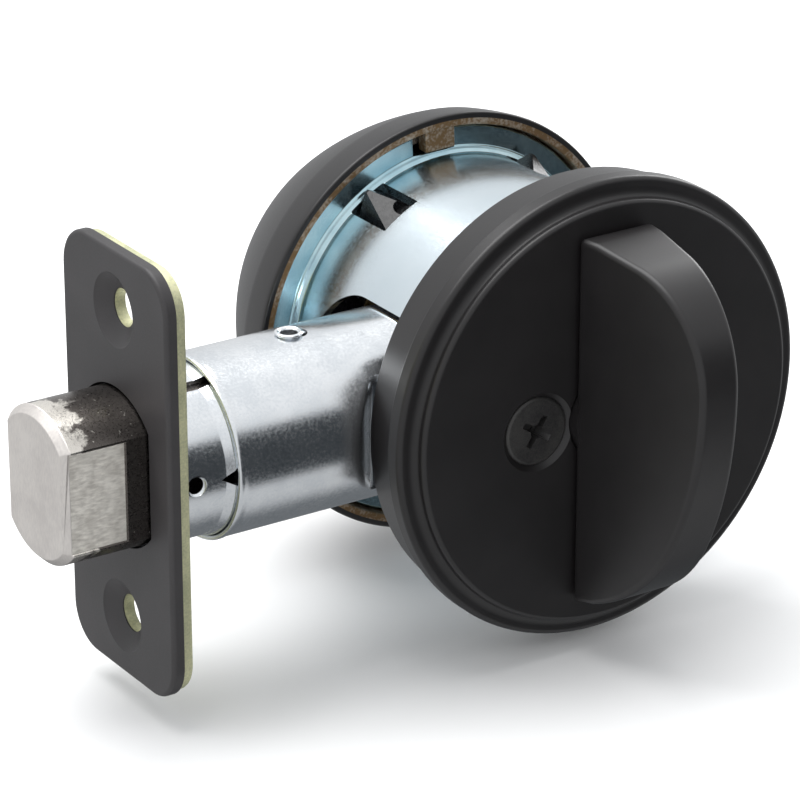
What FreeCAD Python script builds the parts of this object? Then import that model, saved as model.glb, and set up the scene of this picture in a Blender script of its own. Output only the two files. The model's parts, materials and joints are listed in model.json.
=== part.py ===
import FreeCAD
import Part
import Sketcher
import math
import os
import re

# Single-cylinder tubular deadbolt, millimetres.
# Origin: where the turn axis crosses the bolt axis, in the middle of the door's cross bore.
# +X points into the door away from its edge, the bolt throws towards -X, -Y is the room side
# with the thumbturn, +Y is the outside with the keyed cylinder, +Z is up.

SIZES = {
    # lock layout
    "over": 1.0,                # how far a cutter stands past what it cuts
    "backset": 60.325,          # faceplate front to turn axis
    "run_gap": 0.08,            # running clearance, radial
    "side_gap": 0.3,            # clearance between pieces that pass each other
    "rose_seat": 10.4,          # turn axis plane to the rose's door face
    "collar_seat": 16.8,        # turn axis plane to the collar's door face
    # faceplate and backing plate
    "plate_long": 57.15,
    "plate_wide": 25.4,
    "plate_thick": 1.7,
    "plate_corner": 5.5,
    "plate_round": 0.6,
    "screw_pitch": 41.3,
    "screw_hole": 4.9,
    "screw_sink": 9.3,
    "screw_sink_deep": 1.5,
    "backer_thick": 1.5,
    "backer_margin": 0.4,
    # bolt
    "bolt_dia": 20.5,
    "bolt_flats": 15.2,
    "bolt_long": 38.0,
    "bolt_out": 11.6,
    "bolt_bevel": 1.0,
    "bolt_throw": 25.4,
    "milled_deep": 0.2,
    "milled_long": 8.6,
    "milled_tall": 13.2,
    "roller_dia": 6.3,
    "roller_long": 27.5,
    # bolt tubes
    "sleeve_wall": 0.65,
    "tube_gap": 0.37,
    "tube_wall": 0.7,
    "lip_back": 10.35,          # faceplate front to the rear tube's open end
    "tube_tail": 15.0,          # rear tube past the turn axis
    "sleeve_deep": 27.0,        # faceplate front to the front tube's inner end
    "flare_long": 3.6,
    "flat_set": 2.65,           # how far the flattened stretch is pressed in, each side
    "flat_near": 29.0,          # full flat starts this far from the turn axis
    "flat_far": 33.4,           # round section ends this far from the turn axis
    "nose_set": 0.85,           # how far the stretch that passes into the cup is lowered, top and bottom
    "nose_gap": 0.097,          # the lowered stretch starts this far inside the cup's wall
    "nose_ramp": 1.8,
    "rivet_set": 1.975,         # rivet to the front tube's inner end
    "rivet_dia": 3.0,
    "rivet_bore": 2.3,
    "rivet_rim": 0.35,
    "rivet_stand": 0.4,
    "rivet_slack": 1.0,
    "peep_in": 4.925,           # faceplate front to the small round hole in the front tube
    "peep_dia": 2.2,
    "notch_in": 8.425,
    "notch_deep": 2.2,
    "notch_half": 1.2,
    "gap_slot_half": 0.8,       # long slot near the top of the front tube
    "gap_slot_deep": 14.325,
    "gap_slot_angle": 22.0,     # from the top towards the room side
    # cam and bolt tail
    "crank_radius": 17.96,      # half the throw over sin 45
    "crank_pin": 3.0,
    "crank_slack": 0.65,        # the straight slot's allowance for a steady ratio
    "crank_half": 2.8,
    "crank_thick": 1.9,
    "hub_dia": 11.0,
    "journal_dia": 9.4,
    "bearing_thick": 1.0,
    "bearing_half": 8.0,
    "bearing_gap": 0.09,
    "tail_thick": 1.4,
    "roller_set": 0.2,          # roller's end below the bolt's back
    "roller_room": 0.3,
    "tail_gap": 0.237,
    "hub_gap": 0.4,             # tail strip below the hub
    "tail_end": 1.2,
    "fork_wall": 1.7,
    "fork_low": 19.6,
    "fork_slot_set": 1.1,
    "tail_web_top": 4.0,
    "tail_rivet_dia": 2.5,
    "tail_rivet_set": 4.05,     # rivet's axis inside the bolt's round top
    "tail_rivet_deep": 6.0,
    "tail_rivet_head": 2.0,
    "tail_rivet_stand": 0.8,
    "journal_stand": 0.4,
    "tail_web_end": 26.0,
    "detent_thick": 0.4,
    "detent_half": 8.6,
    "detent_wide": 7.0,
    # through bolts
    "bolt_pitch": 22.0,
    "post_dia": 4.8,
    "head_dia": 9.3,
    "head_deep": 2.6,
    "post_clear": 0.5,
    "post_fit": 0.15,
    "head_set": 0.3,            # head set back from the rose's face
    "cross_long": 4.8,
    "cross_wide": 1.0,
    "cross_deep": 1.7,
    "cross_angle": 33.0,
    "post_bite": 10.0,
    # interior rose
    "rose_rear": 29.9,
    "rose_rim": 30.98,
    "rose_rim_out": 7.0,
    "rose_valley": 29.3,
    "rose_step": 28.45,
    "rose_step_out": 8.5,
    "rose_face": 27.1,
    "rose_deep": 9.8,
    "rose_wall": 1.5,
    "rose_rim_round": 1.2,
    "rose_rim_flat": 1.05,
    "rose_valley_deep": 0.1,
    "rose_cove": 1.2,
    "rose_edge_out": 1.2,
    "rose_edge_in": 0.05,
    "rose_edge_round": 1.3,
    "rib_thick": 1.8,
    "rib_dia": 50.0,
    # thumbturn
    "shaft_dia": 12.0,
    "shaft_in": 8.2,
    "turn_lift": 0.35,
    "turn_tall": 25.1,
    "turn_foot": 24.9,
    "turn_deep": 22.6,
    "turn_wide": 11.2,
    "turn_crest": 5.4,
    "turn_top_out": 9.49,       # where the top arc ends
    "turn_top_drop": 0.8,
    "turn_top_arc": 14.4,
    "turn_crest_up": 9.54,
    "turn_back_arc": 46.0,
    "turn_low_out": 16.27,
    "turn_low_down": 13.82,
    "turn_low_arc": 26.0,
    "turn_foot_out": 3.39,
    "turn_foot_rise": 0.7,
    "washer_thick": 0.6,
    "washer_dia": 16.0,
    "clip_thick": 1.0,
    "clip_dia": 16.0,
    "clip_groove": 10.0,
    "clip_mouth": 8.4,
    "tailbar_tall": 6.4,
    "tailbar_thick": 2.0,
    "tailbar_fit": 0.1,
    "tailbar_near": 14.3,
    "tailbar_far": 13.2,
    # outside: collar, cup, insert
    "collar_margin": 2.14,      # collar's door rim beyond the cup's flange
    "collar_draw": 0.88,        # crease inside the door rim
    "collar_crease_out": 5.5,
    "collar_deep": 19.4,
    "collar_nose": 20.8,
    "collar_arc": 60.0,
    "collar_wall": 1.75,
    "collar_lip": 1.7,
    "key_tab_wide": 4.6,
    "key_tab_deep": 2.6,
    "key_tab_set": 0.4,
    "key_tab_gap": 0.1,
    "key_tab_room": 1.6,
    "key_tab_angle": -2.0,
    "cup_dia": 47.4,
    "cup_wall": 1.2,
    "cup_mouth": 3.4,           # barrel reaches this far to the room side of the axis plane
    "cup_flange_wide": 3.6,
    "cup_flange_set": 1.2,      # flange set back from the collar's door face
    "cup_step": 0.5,
    "cup_step_out": 0.9,
    "arch_gap": 0.7,
    "arch_top": 13.2,
    "arch_corner": 8.0,
    "window_low": 9.4,
    "window_high": 17.4,
    "window_half": 3.0,
    "window_angle": 58.7,
    "barb_rise": 1.7,
    "barb_margin": 0.25,
    "barb_set": 1.4,            # barb's crest below the window's flange end
    "barb_crest": 0.3,
    "insert_step": 0.5,
    "spring_ring_wide": 1.4,
    "spring_ring_margin": 0.2,
    # keyed cylinder
    "barrel_dia": 34.0,
    "barrel_low": 13.0,
    "barrel_rim": 18.6,
    "barrel_rim_thick": 1.6,
    "plug_dia": 12.7,
    "plug_collar": 14.4,
    "plug_collar_thick": 1.4,
    "plug_proud": 0.5,
    "plug_neck": 10.8,
    "cap_dia": 16.0,
    "cap_thick": 2.0,
    "lost_dia": 7.4,            # round recess that the tail bar's end turns in
    "keyway_wide": 1.9,
    "keyway_low": 6.0,
    "keyway_high": 2.6,
    "keyway_jog": 0.9,
    "keyway_jog_low": 4.4,
    "keyway_jog_high": 2.4,
    "keyway_web": 1.5,
    "chamber_dia": 2.95,
    "chamber_first": 5.4,
    "chamber_pitch": 3.96,
    "chamber_top": 15.2,
    "chamber_low": 1.3,
    "pin_point": 0.9,
    "pin_point_dia": 1.02,
    "pin_slack": 0.03,
    "pin_shear": 0.3,
    "driver_gap": 0.1,
    "driver_long": 3.8,
    "spring_wall": 0.35,
    "spring_margin": 0.1,
    "cover_wide": 4.4,
    "cover_thick": 0.9,
    "cover_end": 3.0,           # cover's end below the collar's front
    "drill_pin_dia": 2.4,
    "drill_pin_long": 7.0,
    "drill_pin_out": 10.6,
}
KEY_PIN_LENGTHS = (5.0, 6.5, 4.3, 5.8, 7.1)

# Lengths and places that follow from the sizes, as formulas of the sheet.
DERIVED = {
    "bolt_r": "bolt_dia / 2",
    "sleeve_in": "bolt_r + run_gap",
    "sleeve_r": "sleeve_in + sleeve_wall",
    "tube_in": "sleeve_r + tube_gap",
    "tube_r": "tube_in + tube_wall",
    "plate_x": "-backset",
    "backer_x": "plate_x + plate_thick",
    "backer_back_x": "backer_x + backer_thick",
    "lip_x": "plate_x + lip_back",
    "sleeve_end_x": "plate_x + sleeve_deep",
    "bolt_tip_x": "plate_x - bolt_out",
    "bolt_back_x": "bolt_tip_x + bolt_long",
    "tail_back_x": "bolt_back_x + tail_end",
    "flat_half": "tube_r - flat_set",
    "nose_half": "tube_r - nose_set",
    "arch_half": "nose_half + arch_gap",
    "cup_r": "cup_dia / 2",
    "nose_near": "sqrt(cup_r ^ 2 - arch_half ^ 2) - nose_gap",
    "nose_far": "nose_near + nose_ramp",
    "rivet_at": "-sleeve_end_x + rivet_set",
    "peep_at": "backset - peep_in",
    "notch_at": "backset - notch_in",
    "gap_slot_near": "backset - gap_slot_deep",
    "bearing_y": "flat_half - tube_wall",
    "bearing_tall": "sqrt(tube_in ^ 2 - bearing_y ^ 2) - bearing_gap",
    "crank_y": "bearing_y - bearing_thick - side_gap / 2",
    "tail_y": "crank_y - crank_thick - side_gap",
    "tail_low": "sqrt(sleeve_in ^ 2 - tail_y ^ 2) - tail_gap",
    "tail_top": "hub_dia / 2 + hub_gap",
    "tail_rivet_out": "bolt_r - tail_rivet_set",
    "fork_half": "crank_pin / 2 + crank_slack",
    "hub_y": "bearing_y - bearing_thick - run_gap",
    "rose_front": "rose_seat + rose_deep",
    "head_y": "rose_front - head_set",
    "rib_front": "rose_front - rose_wall",
    "rib_back": "rib_front - rib_thick",
    "washer_back": "rib_back - washer_thick",
    "clip_back": "washer_back - clip_thick",
    "shaft_back": "rose_front - shaft_in",
    "turn_base": "rose_front + turn_lift",
    "flange_y": "collar_seat + cup_flange_set",
    "cup_in": "cup_r - cup_wall",
    "cup_flange": "cup_r + cup_flange_wide",
    "collar_base": "cup_flange + collar_margin",
    "collar_crease": "collar_base - collar_draw",
    "barrel_r": "barrel_dia / 2",
    "collar_front": "collar_seat + collar_deep",
    "rim_y": "collar_front - barrel_rim_thick",
    "plug_r": "plug_dia / 2",
    "chamber_r": "chamber_dia / 2",
    "pin_r": "chamber_r - pin_slack",
    "post_x": "bolt_pitch / 2",
    "post_r": "post_dia / 2",
    "head_r": "head_dia / 2",
    "shaft_r": "shaft_dia / 2",
    "sink_y": "head_y - head_deep",
    "driver_low": "plug_r + driver_gap",
    "rivet_r": "rivet_dia / 2",
}

doc = FreeCAD.newDocument("deadbolt")
sheet = doc.addObject("Spreadsheet::Sheet", "dims")
for row, (alias, value) in enumerate(SIZES.items(), start=1):
    sheet.set("A%d" % row, alias)
    sheet.set("B%d" % row, str(value))
    sheet.setAlias("B%d" % row, alias)
for row, (alias, formula) in enumerate(DERIVED.items(), start=len(SIZES) + 1):
    sheet.set("A%d" % row, alias)
    sheet.set("B%d" % row, "=" + formula)
    sheet.setAlias("B%d" % row, alias)
doc.recompute()

NEAR = 0.01                 # edges this close to a plane lie in it
ALIASES = set(SIZES) | set(DERIVED)
WORD = re.compile(r"[A-Za-z_]\w*")


def formula(text):
    """A formula of sheet aliases, with each alias given its sheet's name."""
    return WORD.sub(lambda m: "dims." + m.group(0) if m.group(0) in ALIASES else m.group(0), str(text))


def value(text):
    """What a formula of sheet aliases comes to."""
    return float(sheet.evalExpression(formula(text)))


def bind(obj, **sizes):
    """Tie properties to formulas; two underscores stand for a dot."""
    for prop, text in sizes.items():
        obj.setExpression(prop.replace("__", "."), formula(text))
    return obj


TURNS = {
    "x": FreeCAD.Rotation(FreeCAD.Vector(0, 1, 0), 90),
    "y": FreeCAD.Rotation(FreeCAD.Vector(1, 0, 0), -90),
    "z": FreeCAD.Rotation(),
}


def cylinder(name, axis, radius, start, end, at=("0", "0")):
    """Round bar along an axis from start to end; at gives its place on the other two axes."""
    obj = doc.addObject("Part::Cylinder", name)
    obj.Placement = FreeCAD.Placement(FreeCAD.Vector(), TURNS[axis])
    first, second = [letter for letter in "xyz" if letter != axis]
    bind(obj, Radius=radius, Height="(%s) - (%s)" % (end, start))
    bind(obj, **{"Placement__Base__" + axis: start,
                 "Placement__Base__" + first: at[0],
                 "Placement__Base__" + second: at[1]})
    return obj


def cone(name, axis, start_radius, end_radius, start, end, at=("0", "0")):
    obj = doc.addObject("Part::Cone", name)
    obj.Placement = FreeCAD.Placement(FreeCAD.Vector(), TURNS[axis])
    first, second = [letter for letter in "xyz" if letter != axis]
    bind(obj, Radius1=start_radius, Radius2=end_radius, Height="(%s) - (%s)" % (end, start))
    bind(obj, **{"Placement__Base__" + axis: start,
                 "Placement__Base__" + first: at[0],
                 "Placement__Base__" + second: at[1]})
    return obj


def block(name, x, y, z):
    """Box between pairs of planes."""
    obj = doc.addObject("Part::Box", name)
    bind(obj, Length="(%s) - (%s)" % (x[1], x[0]), Width="(%s) - (%s)" % (y[1], y[0]),
         Height="(%s) - (%s)" % (z[1], z[0]))
    bind(obj, Placement__Base__x=x[0], Placement__Base__y=y[0], Placement__Base__z=z[0])
    return obj


def fuse(name, *shapes):
    obj = doc.addObject("Part::MultiFuse", name)
    obj.Shapes = list(shapes)
    obj.Refine = True
    return obj


def group(name, *shapes):
    obj = doc.addObject("Part::Compound", name)
    obj.Links = list(shapes)
    return obj


def cut(name, base, *tools):
    """Base with every tool taken away, and the tools fused first where there are several."""
    obj = doc.addObject("Part::Cut", name)
    obj.Base = base
    obj.Tool = tools[0] if len(tools) == 1 else fuse(name + "_tools", *tools)
    obj.Refine = True
    return obj


def common(name, *shapes):
    obj = doc.addObject("Part::MultiCommon", name)
    obj.Shapes = list(shapes)
    obj.Refine = True
    return obj


def ring(name, axis, outer, inner, start, end, at=("0", "0")):
    return cut(name, cylinder(name + "_rim", axis, outer, start, end, at),
               cylinder(name + "_eye", axis, inner, "(%s) - over" % start, "(%s) + over" % end, at))


def body_of(name):
    body = doc.addObject("PartDesign::Body", name)
    body.Label = name
    return body


def sketch_in(body, name, plane, offset="0"):
    """Sketch on one of the body's own origin planes, moved along the plane's normal by offset."""
    sketch = body.newObject("Sketcher::SketchObject", name)
    support = [feature for feature in body.Origin.OriginFeatures if feature.Role == plane][0]
    sketch.AttachmentSupport = [(support, "")]
    sketch.MapMode = "FlatFace"
    sketch.setExpression("AttachmentOffset.Base.z", formula(offset))
    return sketch


def fix_point(sketch, geometry, point, across, up):
    """Hold one point of a sketch at two sheet formulas."""
    for kind, text in (("DistanceX", across), ("DistanceY", up)):
        index = sketch.addConstraint(Sketcher.Constraint(kind, -1, 1, geometry, point, value(text)))
        sketch.setExpression("Constraints[%d]" % index, formula(text))


def draw_outline(sketch, points):
    """Closed outline. A point is (across, up), or (across, up, radius, side) for an arc to the next one.

    Side +1 bows the arc to the left of its direction of travel, and -1 to the right.
    """
    places = [FreeCAD.Vector(value(point[0]), value(point[1]), 0) for point in points]
    edges = []
    for index, point in enumerate(points):
        start, end = places[index], places[(index + 1) % len(points)]
        if len(point) == 2:
            edges.append((sketch.addGeometry(Part.LineSegment(start, end), False), 1, 2))
            continue
        radius, side = value(point[2]), point[3]
        chord = end - start
        left = FreeCAD.Vector(-chord.y, chord.x, 0).normalize()
        centre = (start + end) * 0.5 - left * side * math.sqrt(radius ** 2 - (chord.Length / 2) ** 2)
        top = centre + left * side * radius
        arc = Part.Arc(start, top, end)
        edges.append((sketch.addGeometry(arc, False), 2, 1) if side > 0 else
                     (sketch.addGeometry(arc, False), 1, 2))
    for index, point in enumerate(points):
        this_edge, begins, finishes = edges[index]
        next_edge, next_begins, _ = edges[(index + 1) % len(points)]
        sketch.addConstraint(Sketcher.Constraint("Coincident", this_edge, finishes, next_edge, next_begins))
        fix_point(sketch, this_edge, begins, point[0], point[1])
        if len(point) > 2:
            held = sketch.addConstraint(Sketcher.Constraint("Radius", this_edge, value(point[2])))
            sketch.setExpression("Constraints[%d]" % held, formula(point[2]))


def revolve(body, sketch):
    """Full turn about the sketch's own upright axis."""
    feature = body.newObject("PartDesign::Revolution", sketch.Name + "_turned")
    feature.Profile = sketch
    feature.ReferenceAxis = (sketch, ["V_Axis"])
    feature.Angle = 360
    return feature


def pad(body, sketch, length, both_ways=False):
    """Straight pad of a sketch, to one side of its plane or half to each."""
    feature = body.newObject("PartDesign::Pad", sketch.Name + "_pad")
    feature.Profile = sketch
    if both_ways:
        feature.SideType = "Symmetric"
    bind(feature, Length=length)
    return feature


def round_edges(body, base, names, radius):
    feature = body.newObject("PartDesign::Fillet", body.Name + "_fillet")
    feature.Base = (base, names)
    return bind(feature, Radius=radius)


def edges_where(feature, test):
    """Names of the feature's edges whose box passes the test."""
    return ["Edge%d" % (index + 1) for index, edge in enumerate(feature.Shape.Edges) if test(edge)]


def moved(name, shape, x="0", y="0", z="0", axis="z", angle="0"):
    """The shape turned about an axis through the origin, then shifted."""
    obj = group(name, shape)
    direction = FreeCAD.Vector(*[float(letter == axis) for letter in "xyz"])
    obj.Placement = FreeCAD.Placement(FreeCAD.Vector(), FreeCAD.Rotation(direction, value(angle)))
    return bind(obj, Placement__Base__x=x, Placement__Base__y=y, Placement__Base__z=z)


SIDES = (("near", "-"), ("far", ""))


def twice(name, make):
    """Two like solids, each made from its side's name and its sign."""
    return group(name, *[make(side, sign) for side, sign in SIDES])


def bolt_section(name, radius, half_width, start, end):
    """Round bar along X with flats facing the two faces of the door."""
    return common(name, cylinder(name + "_round", "x", radius, start, end),
                  block(name + "_flats", (start, end), ("-(%s)" % half_width, half_width),
                        ("-(%s)" % radius, radius)))


# ---------------------------------------------------------------- faceplate and backing plate

def plate_body(name, margin, start, thick):
    """Upright plate with rounded corners, lying against the door's edge."""
    body = body_of(name)
    sketch = sketch_in(body, name + "_outline", "YZ_Plane", start)
    side, top = "(plate_wide / 2 - %s)" % margin, "(plate_long / 2 - %s)" % margin
    corner = "(plate_corner - %s)" % margin
    inner_side, inner_top = side + " - " + corner, top + " - " + corner
    draw_outline(sketch, [
        (side, "-(%s)" % inner_top), (side, inner_top, corner, -1),
        (inner_side, top), ("-(%s)" % inner_side, top, corner, -1),
        ("-" + side, inner_top), ("-" + side, "-(%s)" % inner_top, corner, -1),
        ("-(%s)" % inner_side, "-" + top), (inner_side, "-" + top, corner, -1)])
    pad(body, sketch, thick)
    return body


def screw_places(make):
    return [make("top", "screw_pitch / 2"), make("bottom", "-screw_pitch / 2")]


def make_faceplate():
    plate = plate_body("plate_blank", "0", "plate_x", "plate_thick")
    doc.recompute()
    front = edges_where(plate.Tip, lambda edge: edge.BoundBox.XMax < value("plate_x") + NEAR)
    round_edges(plate, plate.Tip, front, "plate_round")
    opening = bolt_section("plate_opening", "bolt_r + side_gap", "bolt_flats / 2 + side_gap",
                           "plate_x - over", "backer_x + over")
    holes = screw_places(lambda place, z: cylinder(
        "plate_hole_" + place, "x", "screw_hole / 2", "plate_x - over", "backer_x + over", ("0", z)))
    sinks = screw_places(lambda place, z: cone(
        "plate_sink_" + place, "x", "screw_sink / 2", "screw_hole / 2", "plate_x",
        "plate_x + screw_sink_deep", ("0", z)))
    return cut("faceplate", plate, opening, *holes, *sinks)


def make_backing_plate():
    plate = plate_body("backer_blank", "backer_margin", "backer_x", "backer_thick")
    opening = cylinder("backer_opening", "x", "sleeve_r + run_gap", "backer_x - over", "backer_back_x + over")
    holes = screw_places(lambda place, z: cylinder(
        "backer_hole_" + place, "x", "screw_hole / 2", "backer_x - over", "backer_back_x + over", ("0", z)))
    return cut("backing_plate", plate, opening, *holes)


# ---------------------------------------------------------------- bolt tubes

def make_front_tube():
    """Sleeve that guides the bolt, from the faceplate to a flared inner end that fits the rear tube."""
    sleeve = cylinder("sleeve_round", "x", "sleeve_r", "backer_x", "sleeve_end_x")
    flare = cylinder("sleeve_flare", "x", "tube_in", "sleeve_end_x - flare_long", "sleeve_end_x")
    bore = cylinder("sleeve_bore", "x", "sleeve_in", "backer_x - over", "sleeve_end_x + over")
    peep = cylinder("sleeve_peep", "y", "peep_dia / 2", "-sleeve_r - over", "-sleeve_r / 2",
                    ("-peep_at", "0"))
    notch_body = body_of("sleeve_notch")
    notch = sketch_in(notch_body, "sleeve_notch_outline", "XZ_Plane", "sleeve_r / 2")
    draw_outline(notch, [("-notch_at", "0"), ("-notch_at + notch_deep", "-notch_half"),
                         ("-notch_at + notch_deep", "notch_half")])
    pad(notch_body, notch, "sleeve_r")
    gap_block = block("sleeve_gap_block", ("backer_x - over", "-gap_slot_near"),
                      ("-gap_slot_half", "gap_slot_half"), ("sleeve_in / 2", "sleeve_r + over"))
    gap = moved("sleeve_gap", gap_block, axis="x", angle="gap_slot_angle")
    rivet = cylinder("sleeve_rivet_hole", "z", "rivet_r", "0", "tube_r + over", ("-rivet_at", "0"))
    return cut("front_tube", fuse("sleeve_blank", sleeve, flare), bore, peep, notch_body, gap, rivet)


def narrowing(name, plane, radius, far, near, half):
    """Prism of the tube's outline in one plane: full width up to far, narrowed from near on."""
    body = body_of(name)
    sketch = sketch_in(body, name + "_outline", plane)
    draw_outline(sketch, [
        ("lip_x - over", "-" + radius), ("-" + far, "-" + radius), ("-" + near, "-(%s)" % half),
        ("tube_tail + over", "-(%s)" % half), ("tube_tail + over", half), ("-" + near, half),
        ("-" + far, radius), ("lip_x - over", radius)])
    pad(body, sketch, "2 * (tube_r + over)", both_ways=True)
    return body


def tube_form(name, radius, inward, start, end):
    """Round bar along X, pressed flat towards the two door faces, then narrowed in height."""
    return common(name, cylinder(name + "_round", "x", radius, start, end),
                  narrowing(name + "_flats", "XY_Plane", radius, "flat_far", "flat_near",
                            "flat_half - " + inward),
                  narrowing(name + "_nose", "XZ_Plane", radius, "nose_far", "nose_near",
                            "nose_half - " + inward))


def post_holes(name, radius, start, end):
    """Cutters for the two through bolts."""
    return [cylinder(name + "_" + side, "y", radius, start, end, (sign + "post_x", "0"))
            for side, sign in SIDES]


def make_rear_tube():
    outer = tube_form("tube_outer", "tube_r", "0", "lip_x", "tube_tail")
    inner = tube_form("tube_inner", "tube_in", "tube_wall", "lip_x - over", "tube_tail + over")
    hub = cylinder("tube_hub_hole", "y", "journal_dia / 2 + side_gap", "-tube_r", "tube_r")
    posts = post_holes("tube_post_hole", "post_r + post_clear", "-tube_r", "tube_r")
    slot = block("tube_arm_slot",
                 ("bolt_out - bolt_throw - fork_half - fork_wall - side_gap", "tube_tail + over"),
                 ("-crank_y - side_gap / 2", "side_gap + tail_thick - tail_y"),
                 ("-tube_r - over", "-tail_top"))
    eyes = [cylinder("tube_rivet_eye_" + place, "z", "rivet_r", "0", "tube_r + over", (x, "0"))
            for place, x in (("near", "-rivet_at + rivet_slack"), ("far", "-rivet_at"))]
    eye_middle = block("tube_rivet_eye_middle", ("-rivet_at", "-rivet_at + rivet_slack"),
                       ("-rivet_r", "rivet_r"), ("0", "tube_r + over"))
    return cut("rear_tube", outer, inner, hub, *posts, slot, *eyes, eye_middle)


def make_tube_rivet():
    """Hollow rivet through both tubes, clear of the bolt inside."""
    at = ("-rivet_at", "0")
    top = "tube_r + rivet_stand"
    shank = cylinder("rivet_shank", "z", "rivet_r", "sleeve_in", top, at)
    rim = cylinder("rivet_rim_ring", "z", "rivet_r + rivet_rim", "tube_r", top, at)
    bore = cylinder("rivet_hole", "z", "rivet_bore / 2", "0", top + " + over", at)
    path = cylinder("rivet_trim", "x", "sleeve_in", "-rivet_at - rivet_dia", "-rivet_at + rivet_dia")
    return cut("tube_rivet", fuse("rivet_blank", shank, rim), bore, path)


# ---------------------------------------------------------------- bolt, tail and cam

def rivet_holes(name, start, end):
    return [cylinder(name + "_" + side, "x", "tail_rivet_dia / 2", start, end, ("0", sign + "tail_rivet_out"))
            for side, sign in SIDES]


def make_deadbolt():
    round_bar = fuse("bolt_round",
                     cone("bolt_round_nose", "x", "bolt_r - bolt_bevel", "bolt_r", "bolt_tip_x",
                          "bolt_tip_x + bolt_bevel"),
                     cylinder("bolt_round_length", "x", "bolt_r", "bolt_tip_x + bolt_bevel", "bolt_back_x"))
    flats = body_of("bolt_flats_form")
    sketch = sketch_in(flats, "bolt_flats_outline", "XY_Plane")
    half, nose_half = "(bolt_flats / 2)", "(bolt_flats / 2 - bolt_bevel)"
    draw_outline(sketch, [
        ("bolt_tip_x", "-" + nose_half), ("bolt_tip_x + bolt_bevel", "-" + half), ("bolt_back_x", "-" + half),
        ("bolt_back_x", half), ("bolt_tip_x + bolt_bevel", half), ("bolt_tip_x", nose_half)])
    pad(flats, sketch, "bolt_dia + over", both_ways=True)
    blank = common("bolt_blank", round_bar, flats)
    room = ("-bolt_flats / 2 - over", "milled_deep - bolt_flats / 2")
    street = ("bolt_flats / 2 - milled_deep", "bolt_flats / 2 + over")
    milled = [block("bolt_milled_" + side, ("bolt_tip_x - over", "bolt_tip_x + milled_long"), span,
                    ("-milled_tall / 2", "milled_tall / 2"))
              for side, span in (("room", room), ("street", street))]
    roller_bore = cylinder("bolt_roller_bore", "x", "roller_dia / 2 + run_gap / 2",
                           "bolt_back_x - roller_long - roller_set - roller_room", "bolt_back_x + over")
    rivets = rivet_holes("bolt_rivet_hole", "bolt_back_x - tail_rivet_deep", "bolt_back_x + over")
    return cut("deadbolt", blank, *milled, roller_bore, *rivets)


def make_anti_saw_roller():
    return cylinder("anti_saw_roller", "x", "roller_dia / 2",
                    "bolt_back_x - roller_long - roller_set", "bolt_back_x - roller_set")


def make_bolt_tail():
    """U-shaped strip behind the bolt, whose room-side arm carries a fork for the crank pin."""
    end = block("tail_end_plate", ("bolt_back_x", "tail_back_x"), ("-tail_y", "tail_y"),
                ("-tail_low", "tail_rivet_out + tail_rivet_head"))
    sides = (("room", ("-tail_y", "tail_thick - tail_y")), ("street", ("tail_y - tail_thick", "tail_y")))
    arms = [block("tail_arm_" + side, ("bolt_back_x", "fork_half + fork_wall"), span,
                  ("-tail_low", "-tail_top")) for side, span in sides]
    webs = [block("tail_web_" + side, ("bolt_back_x", "-tail_web_end"), span,
                  ("-tail_low", "tail_web_top")) for side, span in sides]
    fork = block("tail_fork", ("-fork_half - fork_wall", "fork_half + fork_wall"),
                 sides[0][1], ("-fork_low", "-tail_top"))
    slot = block("tail_slot", ("-fork_half", "fork_half"), ("-tail_y - over", "0"),
                 ("-fork_low - over", "-tail_low - fork_slot_set"))
    rivets = rivet_holes("tail_rivet_hole", "bolt_back_x - over", "tail_back_x + over")
    return cut("bolt_tail", fuse("tail_blank", end, *arms, *webs, fork), slot, *rivets)


def make_tail_rivets():
    def rivet(side, sign):
        at = ("0", sign + "tail_rivet_out")
        top = "tail_back_x + tail_rivet_stand"
        shank = cylinder("tail_rivet_shank_" + side, "x", "tail_rivet_dia / 2",
                         "bolt_back_x - tail_rivet_deep", top, at)
        head = cylinder("tail_rivet_top_" + side, "x", "tail_rivet_head", "tail_back_x", top, at)
        return fuse("tail_rivet_" + side, shank, head)
    return twice("tail_rivets", rivet)


def tailbar_slot(name, start, end):
    """Clearance for the flat tail bar."""
    thick, tall = "(tailbar_thick / 2 + tailbar_fit)", "(tailbar_tall / 2 + tailbar_fit)"
    return block(name, ("-" + thick, thick), (start, end), ("-" + tall, tall))


def make_bolt_cam():
    """Hub with two journals and a crank arm that hangs down when the thumbturn is upright."""
    hub = cylinder("cam_hub", "y", "hub_dia / 2", "-hub_y", "hub_y")
    journal_end = "flat_half + journal_stand"
    journal = cylinder("cam_journal", "y", "journal_dia / 2", "-(%s)" % journal_end, journal_end)
    span = ("-crank_y", "crank_thick - crank_y")
    arm = block("cam_arm", ("-crank_half", "crank_half"), span, ("-crank_radius", "0"))
    tip = cylinder("cam_arm_tip", "y", "crank_half", span[0], span[1], ("0", "-crank_radius"))
    pin = cylinder("cam_pin_hole", "y", "crank_pin / 2", "-crank_y - over", "0", ("0", "-crank_radius"))
    return cut("bolt_cam", fuse("cam_blank", hub, journal, arm, tip),
               tailbar_slot("cam_slot", "-tube_r", "tube_r"), pin)


def make_cam_pin():
    return cylinder("cam_pin", "y", "crank_pin / 2", "-crank_y", "tail_thick + side_gap - tail_y",
                    ("0", "-crank_radius"))


def make_cam_bearings():
    spans = {"near": ("-bearing_y", "bearing_thick - bearing_y"),
             "far": ("bearing_y - bearing_thick", "bearing_y")}

    def bearing(side, _):
        near, far = spans[side]
        plate = block("cam_bearing_plate_" + side, ("-bearing_half", "bearing_half"), (near, far),
                      ("-bearing_tall", "bearing_tall"))
        eye = cylinder("cam_bearing_eye_" + side, "y", "journal_dia / 2 + run_gap",
                       near + " - over", far + " + over")
        return cut("cam_bearing_" + side, plate, eye)
    return twice("cam_bearings", bearing)


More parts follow.
